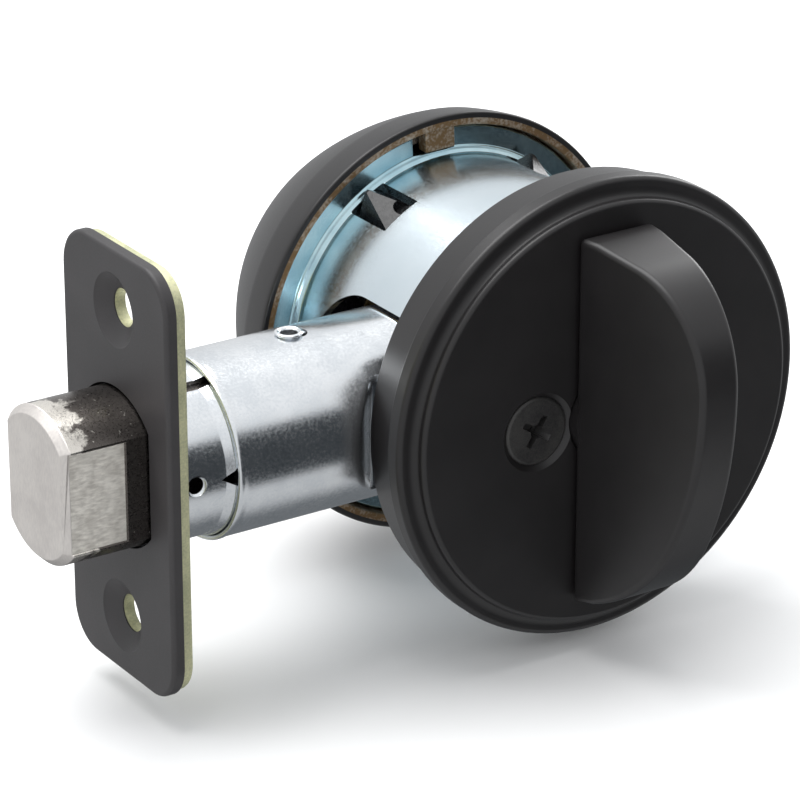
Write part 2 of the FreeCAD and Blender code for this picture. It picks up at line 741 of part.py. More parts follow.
def make_cam_spring():
    """Bowed leaf above the hub, reaching up to the tube's roof at both ends."""
    low = "(hub_dia / 2 + side_gap)"
    high = "(nose_half - tube_wall)"
    bow = "((detent_half ^ 2 + (%s - %s) ^ 2) / (2 * (%s - %s)))" % (high, low, high, low)
    leaf = ring("cam_spring_leaf", "y", bow, "%s - detent_thick" % bow,
                "-detent_wide / 2", "detent_wide / 2", ("0", "%s + %s" % (low, bow)))
    return common("cam_spring", leaf, block("cam_spring_span", ("-detent_half", "detent_half"),
                                            ("-detent_wide", "detent_wide"), ("0", high)))


# ---------------------------------------------------------------- room side

def post_sink(name, sign):
    """Countersink and clearance hole of one through bolt, in the rose and the plate behind it."""
    at = (sign + "post_x", "0")
    return fuse(name,
                cylinder(name + "_mouth", "y", "head_r", "-turn_base - over", "-head_y", at),
                cone(name + "_cone", "y", "head_r", "post_r", "-head_y", "-sink_y", at),
                cylinder(name + "_hole", "y", "post_r + post_fit", "-sink_y", "0", at))


def make_interior_rose():
    body = body_of("rose_shell")
    sketch = sketch_in(body, "rose_profile", "XY_Plane")
    rim_y = "-rose_seat - rose_rim_out"
    rear_inner, neck = "rose_rear - rose_wall", "shaft_r + run_gap"
    draw_outline(sketch, [
        ("rose_rear", "-rose_seat"), ("rose_rim", rim_y, "rose_rim_round", 1),
        ("rose_rim - rose_rim_flat", rim_y + " - rose_rim_round"),
        ("rose_valley", rim_y + " - rose_rim_round + rose_valley_deep", "rose_cove", -1),
        ("rose_step", "-rose_seat - rose_step_out"),
        ("rose_step - rose_edge_in", "-rose_front + rose_edge_out", "rose_edge_round", 1),
        ("rose_face", "-rose_front"), (neck, "-rose_front"), (neck, "-rib_front"),
        ("rose_face - rose_wall", "-rib_front"), ("rose_valley - rose_wall", rim_y),
        (rear_inner, "-rose_seat")])
    revolve(body, sketch)
    return cut("interior_rose", body, *[post_sink("rose_sink_" + side, sign) for side, sign in SIDES])


def make_rose_support_plate():
    blank = ring("rib_ring", "y", "rib_dia / 2", "shaft_r + side_gap", "-rib_front", "-rib_back")
    return cut("rose_support_plate", blank, *[post_sink("rib_sink_" + side, sign) for side, sign in SIDES])


def make_through_bolts():
    def post(side, sign):
        at = (sign + "post_x", "0")
        head = cone("post_head_" + side, "y", "head_r", "post_r", "-head_y", "-sink_y", at)
        shank = cylinder("post_shank_" + side, "y", "post_r", "-head_y", "barrel_low + post_bite", at)
        long, wide = ("-cross_long / 2", "cross_long / 2"), ("-cross_wide / 2", "cross_wide / 2")
        bars = fuse("post_cross_" + side,
                    block("post_cross_a_" + side, long, ("-side_gap", "cross_deep"), wide),
                    block("post_cross_b_" + side, wide, ("-side_gap", "cross_deep"), long))
        cross = moved("post_recess_" + side, bars, x=at[0], y="-head_y", axis="y", angle="cross_angle")
        return cut("post_" + side, fuse("post_blank_" + side, head, shank), cross)
    return twice("through_bolts", post)


def make_thumbturn():
    """Half-moon grip that narrows towards its crest, on a round shaft slotted for the tail bar."""
    side = body_of("turn_side")
    outline = sketch_in(side, "turn_outline", "YZ_Plane")
    base, tip = "-turn_base", "-turn_base - turn_deep"
    draw_outline(outline, [
        (base, "turn_tall"), (base + " - turn_top_out", "turn_tall - turn_top_drop", "turn_top_arc", -1),
        (tip, "turn_crest_up", "turn_back_arc", -1),
        (base + " - turn_low_out", "-turn_low_down", "turn_low_arc", -1),
        (base + " - turn_foot_out", "turn_foot_rise - turn_foot"), (base, "-turn_foot")])
    pad(side, outline, "turn_wide", both_ways=True)
    plan = body_of("turn_plan")
    wedge = sketch_in(plan, "turn_wedge", "XY_Plane")
    wide, crest, past = "turn_wide / 2", "turn_crest / 2", tip + " - over"
    draw_outline(wedge, [("-" + wide, base), ("-" + crest, past), (crest, past), (wide, base)])
    pad(plan, wedge, "2 * (turn_tall + over)", both_ways=True)
    grip = common("turn_grip", side, plan)
    shaft = cylinder("turn_shaft", "y", "shaft_r", base, "-shaft_back")
    groove = ring("turn_groove", "y", "shaft_dia", "clip_groove / 2", "-washer_back", "-clip_back")
    return cut("thumbturn", fuse("turn_blank", grip, shaft), groove,
               tailbar_slot("turn_slot", "-tailbar_near", "0"))


def make_turn_washer():
    return ring("turn_spring_washer", "y", "washer_dia / 2", "shaft_r + side_gap",
                "-rib_back", "-washer_back")


def make_turn_clip():
    blank = ring("clip_ring", "y", "clip_dia / 2", "clip_groove / 2", "-washer_back", "-clip_back")
    mouth = block("clip_gap", ("-clip_mouth / 2", "clip_mouth / 2"),
                  ("-washer_back - over", "over - clip_back"), ("-clip_dia", "0"))
    return cut("turn_retaining_clip", blank, mouth)


def make_tailpiece():
    return block("tailpiece", ("-tailbar_thick / 2", "tailbar_thick / 2"),
                 ("-tailbar_near", "tailbar_far"), ("-tailbar_tall / 2", "tailbar_tall / 2"))


# ---------------------------------------------------------------- outside collar and cup

def make_exterior_collar():
    body = body_of("collar_shell")
    sketch = sketch_in(body, "collar_profile", "XY_Plane")
    crease_y = "collar_seat + collar_crease_out"
    inner, seat = "barrel_r + side_gap", "flange_y + 2 * cup_wall"
    rim, shelf = "barrel_rim + side_gap / 2", "rim_y - collar_lip"
    draw_outline(sketch, [
        ("collar_base", "collar_seat"), ("collar_crease", crease_y, "collar_arc", -1),
        ("collar_nose", "collar_front"), (rim, "collar_front"), (rim, "rim_y"), (inner, "rim_y"),
        (inner, shelf), ("collar_nose - side_gap", shelf), ("cup_flange - collar_lip", seat),
        ("cup_flange + side_gap", seat), ("collar_base - collar_wall", "collar_seat")])
    revolve(body, sketch)
    tab = block("collar_tab", ("-key_tab_wide / 2", "key_tab_wide / 2"),
                ("collar_seat + key_tab_set", "flange_y + cup_wall - key_tab_gap"),
                ("cup_flange - key_tab_deep", "cup_flange + over"))
    return fuse("exterior_collar", body, radial("collar_tab_placed", tab, "key_tab_angle"))


def radial(name, shape, angle):
    """A shape made pointing up, turned about the turn axis; angle is counted from the top towards +X."""
    return moved(name, shape, axis="y", angle=angle)


WINDOW_ANGLES = (("a", "window_angle - 90"), ("b", "90 - window_angle"),
                 ("c", "90 + window_angle"), ("d", "270 - window_angle"))


def make_housing_cup():
    body = body_of("cup_shell")
    sketch = sketch_in(body, "cup_profile", "XY_Plane")
    back = "flange_y + cup_wall"
    draw_outline(sketch, [
        ("cup_in", "-cup_mouth"), ("cup_r", "-cup_mouth"), ("cup_r", "flange_y - cup_step_out"),
        ("cup_r + cup_step", "flange_y"), ("cup_flange", "flange_y"), ("cup_flange", back), ("cup_in", back)])
    revolve(body, sketch)
    windows = []
    for place, angle in WINDOW_ANGLES:
        hole = block("cup_window_block_" + place, ("-window_half", "window_half"),
                     ("window_low", "window_high"), ("cup_in - over", "cup_r + over"))
        windows.append(radial("cup_window_" + place, hole, angle))
    room = block("cup_key_notch_block", ("-key_tab_wide / 2 - key_tab_room", "key_tab_wide / 2 + side_gap"),
                 ("flange_y - over", back + " + over"),
                 ("cup_flange - key_tab_deep - side_gap", "cup_flange + over"))
    notch = radial("cup_key_notch", room, "key_tab_angle")
    arch_body = body_of("cup_arch")
    arch = sketch_in(arch_body, "cup_arch_outline", "YZ_Plane", "-cup_r - over")
    mouth, corner = "-cup_mouth - over", "arch_corner"
    draw_outline(arch, [
        (mouth, "-arch_half"), ("arch_top - arch_corner", "-arch_half", corner, -1),
        ("arch_top", "arch_corner - arch_half"), ("arch_top", "arch_half - arch_corner", corner, -1),
        ("arch_top - arch_corner", "arch_half"), (mouth, "arch_half")])
    pad(arch_body, arch, "cup_r")
    return cut("housing_cup", body, *windows, notch, arch_body)


def make_cup_insert():
    """Plastic ring between the cup and the cylinder, with four barbs that stand out of the windows."""
    band = ring("insert_ring", "y", "cup_in", "barrel_r", "flat_half + side_gap", "flange_y")
    barbs = []
    for place, angle in WINDOW_ANGLES:
        barb = doc.addObject("Part::Wedge", "insert_barb_" + place)
        barb.Placement = FreeCAD.Placement(FreeCAD.Vector(), FreeCAD.Rotation(FreeCAD.Vector(1, 0, 0), 90))
        across = "window_half - barb_margin"
        bind(barb, Xmin="-(%s)" % across, Xmax=across, X2min="-barb_crest / 2", X2max="barb_crest / 2",
             Ymin="cup_in - insert_step", Ymax="cup_r + barb_rise",
             Zmin="barb_margin - window_high", Zmax="-window_low - barb_margin",
             Z2min="barb_set - barb_crest / 2 - window_high",
             Z2max="barb_set + barb_crest / 2 - window_high")
        barbs.append(radial("insert_barb_placed_" + place, barb, angle))
    channel = block("insert_channel", ("-cup_r - over", "0"), ("-over", "arch_top"), ("-arch_half", "arch_half"))
    return cut("cup_insert", fuse("insert_blank", band, *barbs), channel)


def make_collar_spring():
    return ring("collar_spring", "y", "cup_flange - spring_ring_margin",
                "cup_flange - spring_ring_margin - spring_ring_wide",
                "flange_y + cup_wall", "flange_y + 2 * cup_wall")


# ---------------------------------------------------------------- keyed cylinder

def chamber_places():
    return [(str(index + 1), "collar_front - chamber_first - %d * chamber_pitch" % index)
            for index in range(len(KEY_PIN_LENGTHS))]


def make_cylinder_shell():
    barrel = cylinder("shell_barrel", "y", "barrel_r", "barrel_low", "collar_front")
    rim = cylinder("shell_rim", "y", "barrel_rim", "rim_y", "collar_front")
    bore = cylinder("shell_bore", "y", "plug_r + run_gap", "barrel_low - over", "collar_front + over")
    seat = cylinder("shell_seat", "y", "plug_collar / 2 + run_gap",
                    "collar_front - plug_collar_thick", "collar_front + over")
    chambers = [cylinder("shell_chamber_" + place, "z", "chamber_r", "0", "chamber_top", ("0", y))
                for place, y in chamber_places()]
    groove = block("shell_groove", ("-cover_wide / 2", "cover_wide / 2"),
                   ("barrel_low - over", "collar_front - cover_end"), ("chamber_top", "barrel_r + over"))
    posts = post_holes("shell_post", "post_r", "barrel_low - over", "barrel_low + post_bite + over")
    drill = [cylinder("shell_drill_" + side, "y", "drill_pin_dia / 2", "collar_front - drill_pin_long",
                      "collar_front + over", (sign + "drill_pin_out", "0")) for side, sign in SIDES]
    return cut("cylinder_shell", fuse("shell_blank", barrel, rim), bore, seat, *chambers, groove,
               *posts, *drill)


def make_cylinder_plug():
    blank = fuse("plug_blank",
                 cylinder("plug_round", "y", "plug_r", "barrel_low", "collar_front"),
                 cylinder("plug_face", "y", "plug_collar / 2", "collar_front - plug_collar_thick",
                          "collar_front + plug_proud"),
                 cylinder("plug_thread", "y", "plug_neck / 2", "barrel_low - cap_thick", "barrel_low"))
    length = ("barrel_low + keyway_web", "collar_front + over")
    keyway = block("plug_keyway", ("-keyway_wide / 2", "keyway_wide / 2"), length,
                   ("-keyway_low", "keyway_high"))
    jog = block("plug_keyway_jog", ("-keyway_wide / 2 - keyway_jog", "0"), length,
                ("-keyway_jog_low", "-keyway_jog_high"))
    chambers = [cylinder("plug_chamber_" + place, "z", "chamber_r", "-chamber_low", "plug_r + over", ("0", y))
                for place, y in chamber_places()]
    recess = cylinder("plug_recess", "y", "lost_dia / 2", "barrel_low - cap_thick - over",
                      "tailbar_far + side_gap / 2")
    return cut("cylinder_plug", blank, keyway, jog, *chambers, recess)


def make_plug_cap():
    return ring("plug_cap", "y", "cap_dia / 2", "plug_neck / 2", "barrel_low - cap_thick",
                "barrel_low - run_gap")


def make_key_pins():
    pins = []
    for (place, y), long in zip(chamber_places(), KEY_PIN_LENGTHS):
        top = "plug_r - pin_shear"
        low = "%s - %s" % (top, long)
        body = cylinder("key_pin_body_" + place, "z", "pin_r", low + " + pin_point", top, ("0", y))
        tip = cone("key_pin_tip_" + place, "z", "pin_point_dia / 2", "pin_r", low,
                   low + " + pin_point", ("0", y))
        pins.append(fuse("key_pin_" + place, body, tip))
    return group("key_pins", *pins)


def make_driver_pins():
    return group("driver_pins", *[
        cylinder("driver_pin_" + place, "z", "pin_r", "driver_low", "driver_low + driver_long", ("0", y))
        for place, y in chamber_places()])


def make_pin_springs():
    outer = "pin_r - spring_margin"
    return group("pin_springs", *[
        ring("pin_spring_" + place, "z", outer, outer + " - spring_wall", "driver_low + driver_long",
             "chamber_top", ("0", y)) for place, y in chamber_places()])


def make_spring_cover():
    return block("spring_cover", ("-cover_wide / 2", "cover_wide / 2"),
                 ("barrel_low", "collar_front - cover_end"), ("chamber_top", "chamber_top + cover_thick"))


def make_drill_pins():
    def pin(side, sign):
        return cylinder("drill_pin_" + side, "y", "drill_pin_dia / 2", "collar_front - drill_pin_long",
                        "collar_front", (sign + "drill_pin_out", "0"))
    return twice("drill_pins", pin)


SUBPARTS = [
    make_faceplate, make_backing_plate, make_front_tube, make_rear_tube, make_tube_rivet,
    make_deadbolt, make_anti_saw_roller, make_bolt_tail, make_tail_rivets,
    make_bolt_cam, make_cam_pin, make_cam_bearings, make_cam_spring,
    make_interior_rose, make_rose_support_plate, make_through_bolts,
    make_thumbturn, make_turn_washer, make_turn_clip, make_tailpiece,
    make_exterior_collar, make_housing_cup, make_cup_insert, make_collar_spring,
    make_cylinder_shell, make_cylinder_plug, make_plug_cap, make_key_pins, make_driver_pins,
    make_pin_springs, make_spring_cover, make_drill_pins,
]
built = [make() for make in SUBPARTS]
doc.recompute()

failed = [obj.Name for obj in doc.Objects if "Invalid" in obj.State or "Error" in obj.State]
for part in built:
    if part.Shape.isNull() or not part.Shape.isValid() or not part.Shape.Solids:
        failed.append(part.Name + " has no valid shape")
if failed:
    raise RuntimeError("these did not build: " + ", ".join(failed))

os.makedirs("parts", exist_ok=True)
for part in built:
    part.Label = part.Name
    part.Shape.exportStep("parts/%s.step" % part.Name)
print("%d sub-parts written" % len(built))
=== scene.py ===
import bpy
import bmesh
import json
import math
from mathutils import Matrix, Vector


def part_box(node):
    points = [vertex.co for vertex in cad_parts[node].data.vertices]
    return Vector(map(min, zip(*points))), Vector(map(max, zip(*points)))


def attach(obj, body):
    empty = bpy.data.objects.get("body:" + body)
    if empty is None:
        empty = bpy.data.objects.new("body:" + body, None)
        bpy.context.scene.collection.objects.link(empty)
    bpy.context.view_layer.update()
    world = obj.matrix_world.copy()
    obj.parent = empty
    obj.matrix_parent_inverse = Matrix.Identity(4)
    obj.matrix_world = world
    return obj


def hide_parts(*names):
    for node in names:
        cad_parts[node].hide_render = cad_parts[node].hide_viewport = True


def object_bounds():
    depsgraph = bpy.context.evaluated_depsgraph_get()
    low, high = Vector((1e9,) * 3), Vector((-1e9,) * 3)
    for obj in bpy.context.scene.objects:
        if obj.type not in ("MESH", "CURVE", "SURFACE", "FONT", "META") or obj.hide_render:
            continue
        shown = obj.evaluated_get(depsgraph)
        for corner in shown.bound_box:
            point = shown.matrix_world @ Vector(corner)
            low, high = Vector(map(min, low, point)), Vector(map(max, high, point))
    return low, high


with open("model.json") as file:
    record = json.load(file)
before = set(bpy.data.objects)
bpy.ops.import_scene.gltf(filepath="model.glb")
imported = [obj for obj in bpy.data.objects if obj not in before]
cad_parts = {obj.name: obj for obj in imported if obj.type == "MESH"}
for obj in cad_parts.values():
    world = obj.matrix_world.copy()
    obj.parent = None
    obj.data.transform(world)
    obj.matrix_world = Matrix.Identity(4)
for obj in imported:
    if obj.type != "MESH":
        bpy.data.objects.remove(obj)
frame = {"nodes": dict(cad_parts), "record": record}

cad_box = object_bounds()

# Tubular deadbolt. Lengths below are millimetres unless a name says otherwise; MM turns them into metres.
# -X is the way the bolt throws, -Y the room side with the thumbturn, +Y the outside, +Z up.
MM = 0.001
AXES = {"x": 0, "y": 1, "z": 2}


def box(node):
    """Lowest and highest corner of a CAD node, in millimetres."""
    low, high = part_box(node)
    return low / MM, high / MM


# ---------------------------------------------------------------- outlines and meshes

def rounded(points, steps=6):
    """Closed outline with rounded corners. A point is (a, b), or (a, b, radius) where its corner is round."""
    out = []
    for index, point in enumerate(points):
        here = Vector(point[:2])
        before = Vector(points[index - 1][:2]) - here
        after = Vector(points[(index + 1) % len(points)][:2]) - here
        half = before.angle(after) / 2 if len(point) > 2 else math.pi / 2
        if half > math.pi / 2 - 0.01:
            out.append((here.x, here.y))
            continue
        reach = min(point[2] / math.tan(half), before.length * 0.48, after.length * 0.48)
        centre = here + (before.normalized() + after.normalized()).normalized() * reach / math.cos(half)
        start = here + before.normalized() * reach - centre
        end = here + after.normalized() * reach - centre
        turn = math.atan2(start.x * end.y - start.y * end.x, start.dot(end))
        for step in range(steps + 1):
            spoke = Matrix.Rotation(turn * step / steps, 2) @ start
            out.append((centre.x + spoke.x, centre.y + spoke.y))
    return out


def bow(start, end, sag, steps=12):
    """Points on an arc from start up to, but without, end; sag is how far it bows to its left."""
    start, end = Vector(start), Vector(end)
    chord = end - start
    left = Vector((-chord.y, chord.x)).normalized()
    half = chord.length / 2
    radius = (half ** 2 + sag ** 2) / (2 * abs(sag))
    centre = start + chord / 2 + left * (sag - math.copysign(radius, sag))
    first = start - centre
    turn = -math.copysign(2 * math.asin(min(1.0, half / radius)), sag)
    out = []
    for step in range(steps):
        spoke = Matrix.Rotation(turn * step / steps, 2) @ first
        out.append((centre.x + spoke.x, centre.y + spoke.y))
    return out


def arc(start, end, radius, steps):
    """Points on an arc of a radius that bows to the right of its travel, without its end."""
    half = (Vector(end) - Vector(start)).length / 2
    return bow(start, end, math.sqrt(radius ** 2 - half ** 2) - radius, steps)


def new_piece(name, verts, faces):
    """Mesh object from millimetre points."""
    mesh = bpy.data.meshes.new(name)
    mesh.from_pydata([tuple(c * MM for c in vert) for vert in verts], [], faces)
    work = bmesh.new()
    work.from_mesh(mesh)
    bmesh.ops.remove_doubles(work, verts=work.verts, dist=1e-7)
    bmesh.ops.dissolve_degenerate(work, edges=work.edges, dist=1e-8)
    bmesh.ops.recalc_face_normals(work, faces=work.faces)
    work.to_mesh(mesh)
    work.free()
    piece = bpy.data.objects.new(name, mesh)
    bpy.context.scene.collection.objects.link(piece)
    return piece


def grid_faces(rings, points):
    """Quads of a surface closed both ways, between rings of as many points each."""
    return [(r * points + p, r * points + (p + 1) % points,
             (r + 1) % rings * points + (p + 1) % points, (r + 1) % rings * points + p)
            for r in range(rings) for p in range(points)]


def lathe(name, outline, axis="y", at=(0, 0, 0), turns=192):
    """Closed outline of (radius, place along the axis), turned about the axis through at."""
    along = AXES[axis]
    across, up = [index for index in range(3) if index != along]
    verts = []
    for turn in range(turns):
        angle = 2 * math.pi * turn / turns
        for radius, place in outline:
            vert = [0.0, 0.0, 0.0]
            vert[along] = at[along] + place
            vert[across] = at[across] + radius * math.cos(angle)
            vert[up] = at[up] + radius * math.sin(angle)
            verts.append(vert)
    return new_piece(name, verts, grid_faces(turns, len(outline)))


def prism(name, outline, axis, low, high):
    """Flat-ended bar of an outline given on the other two axes."""
    along = AXES[axis]
    across, up = [index for index in range(3) if index != along]
    verts = []
    for place in (low, high):
        for point in outline:
            vert = [0.0, 0.0, 0.0]
            vert[along], vert[across], vert[up] = place, point[0], point[1]
            verts.append(vert)
    count = len(outline)
    faces = [tuple(range(count)), tuple(range(2 * count - 1, count - 1, -1))]
    faces += [(i, (i + 1) % count, count + (i + 1) % count, count + i) for i in range(count)]
    return new_piece(name, verts, faces)


def bar(name, axis, radius, low, high, at=(0, 0, 0), turns=64, end_radius=None):
    """Round cutter or rod, or a cone where end_radius is given."""
    end_radius = radius if end_radius is None else end_radius
    return lathe(name, [(0, low), (radius, low), (end_radius, high), (0, high)], axis, at, turns)


def brick(name, low, high):
    """Block between two corners."""
    return prism(name, [(low[0], low[1]), (high[0], low[1]), (high[0], high[1]), (low[0], high[1])],
                 "z", low[2], high[2])


def turned(piece, axis, degrees):
    """The piece's mesh turned about a row axis through the origin."""
    piece.data.transform(Matrix.Rotation(math.radians(degrees), 4, axis.upper()))
    return piece


def bake(piece):
    """Applies the piece's modifiers to its mesh."""
    graph = bpy.context.evaluated_depsgraph_get()
    made = bpy.data.meshes.new_from_object(piece.evaluated_get(graph))
    piece.modifiers.clear()
    old = piece.data
    piece.data = made
    bpy.data.meshes.remove(old)
    return piece


def carve(piece, *tools, how="DIFFERENCE"):
    """Takes each tool's shape away from the piece, or keeps only what they share."""
    for tool in tools:
        step = piece.modifiers.new("carve", "BOOLEAN")
        step.operation = how
        step.solver = "EXACT"
        step.object = tool
        bpy.context.view_layer.update()
        bake(piece)
        bpy.data.objects.remove(tool)
    return piece


def joined(name, *parts):
    """One piece of several closed meshes."""
    work = bmesh.new()
    for part in parts:
        work.from_mesh(part.data)
    mesh = bpy.data.meshes.new(name)
    work.to_mesh(mesh)
    work.free()
    for part in parts:
        bpy.data.objects.remove(part)
    piece = bpy.data.objects.new(name, mesh)
    bpy.context.scene.collection.objects.link(piece)
    return piece


def soften(piece, width, steps=3, angle=28):
    """Rounds the edges sharper than an angle."""
    edge = piece.modifiers.new("edges", "BEVEL")
    edge.width = width * MM
    edge.segments = steps
    edge.limit_method = "ANGLE"
    edge.angle_limit = math.radians(angle)
    edge.use_clamp_overlap = True
    return bake(piece)


def place(piece, body, slot, finishes, replaces=(), angle=35):
    """Shading, material and body of a finished piece."""
    mesh = piece.data
    marks = [face.material_index for face in mesh.polygons]
    mesh.materials.clear()
    for finish in finishes if isinstance(finishes, (list, tuple)) else [finishes]:
        mesh.materials.append(finish)
    mesh.polygons.foreach_set("material_index", marks)
    mesh.shade_smooth()
    mesh.set_sharp_from_angle(angle=math.radians(angle))
    weigh = piece.modifiers.new("normals", "WEIGHTED_NORMAL")
    weigh.keep_sharp = True
    weigh.weight = 100
    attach(piece, body)
    if replaces:
        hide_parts(*replaces)
    return piece


# ---------------------------------------------------------------- materials

def start_material(name):
    """New node material with its tree and shader."""
    made = bpy.data.materials.new(name)
    made.use_nodes = True
    tree = made.node_tree
    return made, tree, tree.nodes["Principled BSDF"]


def node(tree, kind, inputs=None, **settings):
    """New node with its settings, and each input set to a value or linked from an output."""
    made = tree.nodes.new("ShaderNode" + kind)
    for key, setting in settings.items():
        setattr(made, key, setting)
    for key, given in (inputs or {}).items():
        socket = made.inputs[key]
        if isinstance(given, bpy.types.NodeSocket):
            tree.links.new(given, socket)
        else:
            socket.default_value = given
    return made


def grain(tree, size, stretch=(1, 1, 1), detail=3.0, rough=0.55, warp=0.0):
    """Noise whose features are about size millimetres across, drawn out along the axes by stretch."""
    where = node(tree, "TexCoord").outputs["Object"]
    scaled = node(tree, "Mapping", {"Vector": where, "Scale": tuple(1 / s for s in stretch)})
    return node(tree, "TexNoise", {"Vector": scaled.outputs["Vector"], "Scale": 1 / (size * MM),
                                   "Detail": detail, "Roughness": rough, "Distortion": warp}).outputs["Fac"]


def span(tree, source, low, high, start=0.35, end=0.65):
    """The source's range from start to end, mapped to low..high."""
    return node(tree, "MapRange", {"Value": source, "From Min": start, "From Max": end,
                                   "To Min": low, "To Max": high}).outputs["Result"]


def blend(tree, share, first, second):
    """Colour between the first and the second, by a share."""
    mixed = node(tree, "Mix", data_type="RGBA")
    for socket, given in ((mixed.inputs[0], share), (mixed.inputs[6], first), (mixed.inputs[7], second)):
        if isinstance(given, bpy.types.NodeSocket):
            tree.links.new(given, socket)
        else:
            socket.default_value = given if isinstance(given, float) else (*given, 1.0)
    return mixed.outputs[2]


def dents(tree, shader, source, depth, normal=None):
    """Bump of a depth in millimetres from a 0..1 source."""
    inputs = {"Height": source, "Strength": 1.0, "Distance": depth * MM}
    if normal is not None:
        inputs["Normal"] = normal
    made = node(tree, "Bump", inputs).outputs["Normal"]
    tree.links.new(made, shader.inputs["Normal"])
    return made


def metal(name, light, dark, rough, grit, depth, patch=6.0, stretch=(1, 1, 1), metallic=1.0, bias=0.5):
    """Metal finish: two tones in soft patches, fine grit in roughness and bump."""
    made, tree, shader = start_material(name)
    fine = grain(tree, grit, stretch, detail=4.0)
    broad = grain(tree, patch, detail=2.0)
    tone = node(tree, "Math", {0: fine, 1: broad}, operation="ADD").outputs[0]
    tone = span(tree, tone, 0.0, 1.0, bias * 2 - 0.22, bias * 2 + 0.22)
    tree.links.new(blend(tree, tone, dark, light), shader.inputs["Base Color"])
    tree.links.new(span(tree, fine, rough[0], rough[1]), shader.inputs["Roughness"])
    shader.inputs["Metallic"].default_value = metallic
    dents(tree, shader, fine, depth)
    return made


BOLT_WORN = 3.2           # bright length of the bolt's round top, from its tip
BORDER = 6.0              # how far the border between bright and dark wanders


def worn_nickel():
    """Dark rolled nickel that is bright near the bolt's tip, with a ragged border and bright specks."""
    made, tree, shader = start_material("dark_nickel")
    fine = grain(tree, 0.22, detail=4.0)
    broad = grain(tree, 2.2, detail=4.0, warp=0.4)
    specks = span(tree, grain(tree, 0.42, detail=1.0), 0.0, 1.0, 0.73, 0.76)
    where = node(tree, "TexCoord").outputs["Object"]
    along = node(tree, "SeparateXYZ", {"Vector": where}).outputs["X"]
    ragged = node(tree, "Math", {0: broad, 1: 2 * BORDER * MM, 2: along}, operation="MULTIPLY_ADD").outputs[0]
    edge = (box("deadbolt")[0].x + BOLT_WORN + BORDER) * MM
    dark = span(tree, ragged, 0.0, 1.0, edge - 0.6 * MM, edge + 0.6 * MM)
    rolled = blend(tree, fine, (0.10, 0.088, 0.080), (0.17, 0.155, 0.145))
    tone = blend(tree, dark, (0.80, 0.76, 0.70), rolled)
    tree.links.new(blend(tree, specks, tone, (0.62, 0.59, 0.54)), shader.inputs["Base Color"])
    tree.links.new(span(tree, fine, 0.24, 0.40), shader.inputs["Roughness"])
    shader.inputs["Metallic"].default_value = 1.0
    dents(tree, shader, broad, 0.05, dents(tree, shader, fine, 0.004))
    return made


def blue_zinc():
    """Blue-white zinc, deeper blue-green on the flange and where it runs into it."""
    made, tree, shader = start_material("blue_zinc")
    fine = grain(tree, 0.35, detail=4.0)
    broad = grain(tree, 7.0, detail=2.0)
    where = node(tree, "TexCoord").outputs["Object"]
    along = node(tree, "SeparateXYZ", {"Vector": where}).outputs["Y"]
    flange = box("housing_cup")[1].y * MM
    deep = span(tree, along, 0.0, 1.0, flange - 6.0 * MM, flange - 1.0 * MM)
    pale = blend(tree, broad, (0.66, 0.75, 0.80), (0.78, 0.85, 0.89))
    teal = blend(tree, span(tree, broad, 0.0, 1.0), (0.36, 0.56, 0.64), (0.56, 0.75, 0.80))
    tree.links.new(blend(tree, deep, pale, teal), shader.inputs["Base Color"])
    tree.links.new(span(tree, fine, 0.18, 0.27), shader.inputs["Roughness"])
    shader.inputs["Metallic"].default_value = 1.0
    dents(tree, shader, fine, 0.0025)
    return made


MATERIALS = {
    "satin_black": metal("satin_black", (0.0125, 0.0112, 0.0118), (0.0095, 0.0085, 0.009), (0.36, 0.42), 0.16,
                         0.0015, metallic=0.0),
    "plate_black": metal("plate_black", (0.040, 0.037, 0.039), (0.030, 0.028, 0.029), (0.44, 0.54), 0.22,
                         0.004, patch=9.0, metallic=0.0),
    "screw_black": metal("screw_black", (0.060, 0.058, 0.056), (0.03, 0.029, 0.03), (0.34, 0.5), 0.2,
                         0.006, metallic=0.5),
    "yellow_zinc": metal("yellow_zinc", (0.72, 0.71, 0.47), (0.48, 0.49, 0.32), (0.50, 0.62), 0.3,
                         0.006, patch=4.0, metallic=0.75),
    "bright_zinc": metal("bright_zinc", (0.86, 0.88, 0.90), (0.74, 0.77, 0.80), (0.16, 0.27), 0.34,
                         0.0055, patch=5.0),
    "blue_zinc": blue_zinc(),
    "satin_nickel": metal("satin_nickel", (0.84, 0.80, 0.76), (0.72, 0.68, 0.65), (0.38, 0.50), 0.25,
                          0.004, patch=5.0, stretch=(1, 1, 3)),
    "milled_nickel": metal("milled_nickel", (0.86, 0.83, 0.77), (0.60, 0.57, 0.52), (0.52, 0.70), 0.34,
                           0.030, patch=2.4, stretch=(3.2, 1, 1), metallic=0.7),
    "dark_nickel": worn_nickel(),
    "black_plastic": metal("black_plastic", (0.006, 0.006, 0.007), (0.004, 0.004, 0.005), (0.20, 0.30), 0.5,
                           0.001, metallic=0.0),
    "plain_steel": metal("plain_steel", (0.56, 0.55, 0.54), (0.38, 0.37, 0.37), (0.28, 0.45), 0.3,
                         0.005, stretch=(4, 1, 1)),
    "hard_steel": metal("hard_steel", (0.44, 0.44, 0.46), (0.30, 0.30, 0.32), (0.2, 0.32), 0.25, 0.003),
    "spring_steel": metal("spring_steel", (0.50, 0.49, 0.47), (0.30, 0.29, 0.28), (0.24, 0.36), 0.25, 0.003),
    "raw_brass": metal("raw_brass", (0.74, 0.55, 0.28), (0.55, 0.39, 0.18), (0.24, 0.40), 0.3,
                       0.004, stretch=(1, 0.4, 1)),
    "raw_rim": metal("raw_rim", (0.46, 0.40, 0.33), (0.20, 0.12, 0.055), (0.42, 0.62), 0.4,
                     0.02, patch=1.6, metallic=0.6, bias=0.56),
}

# ---------------------------------------------------------------- room side

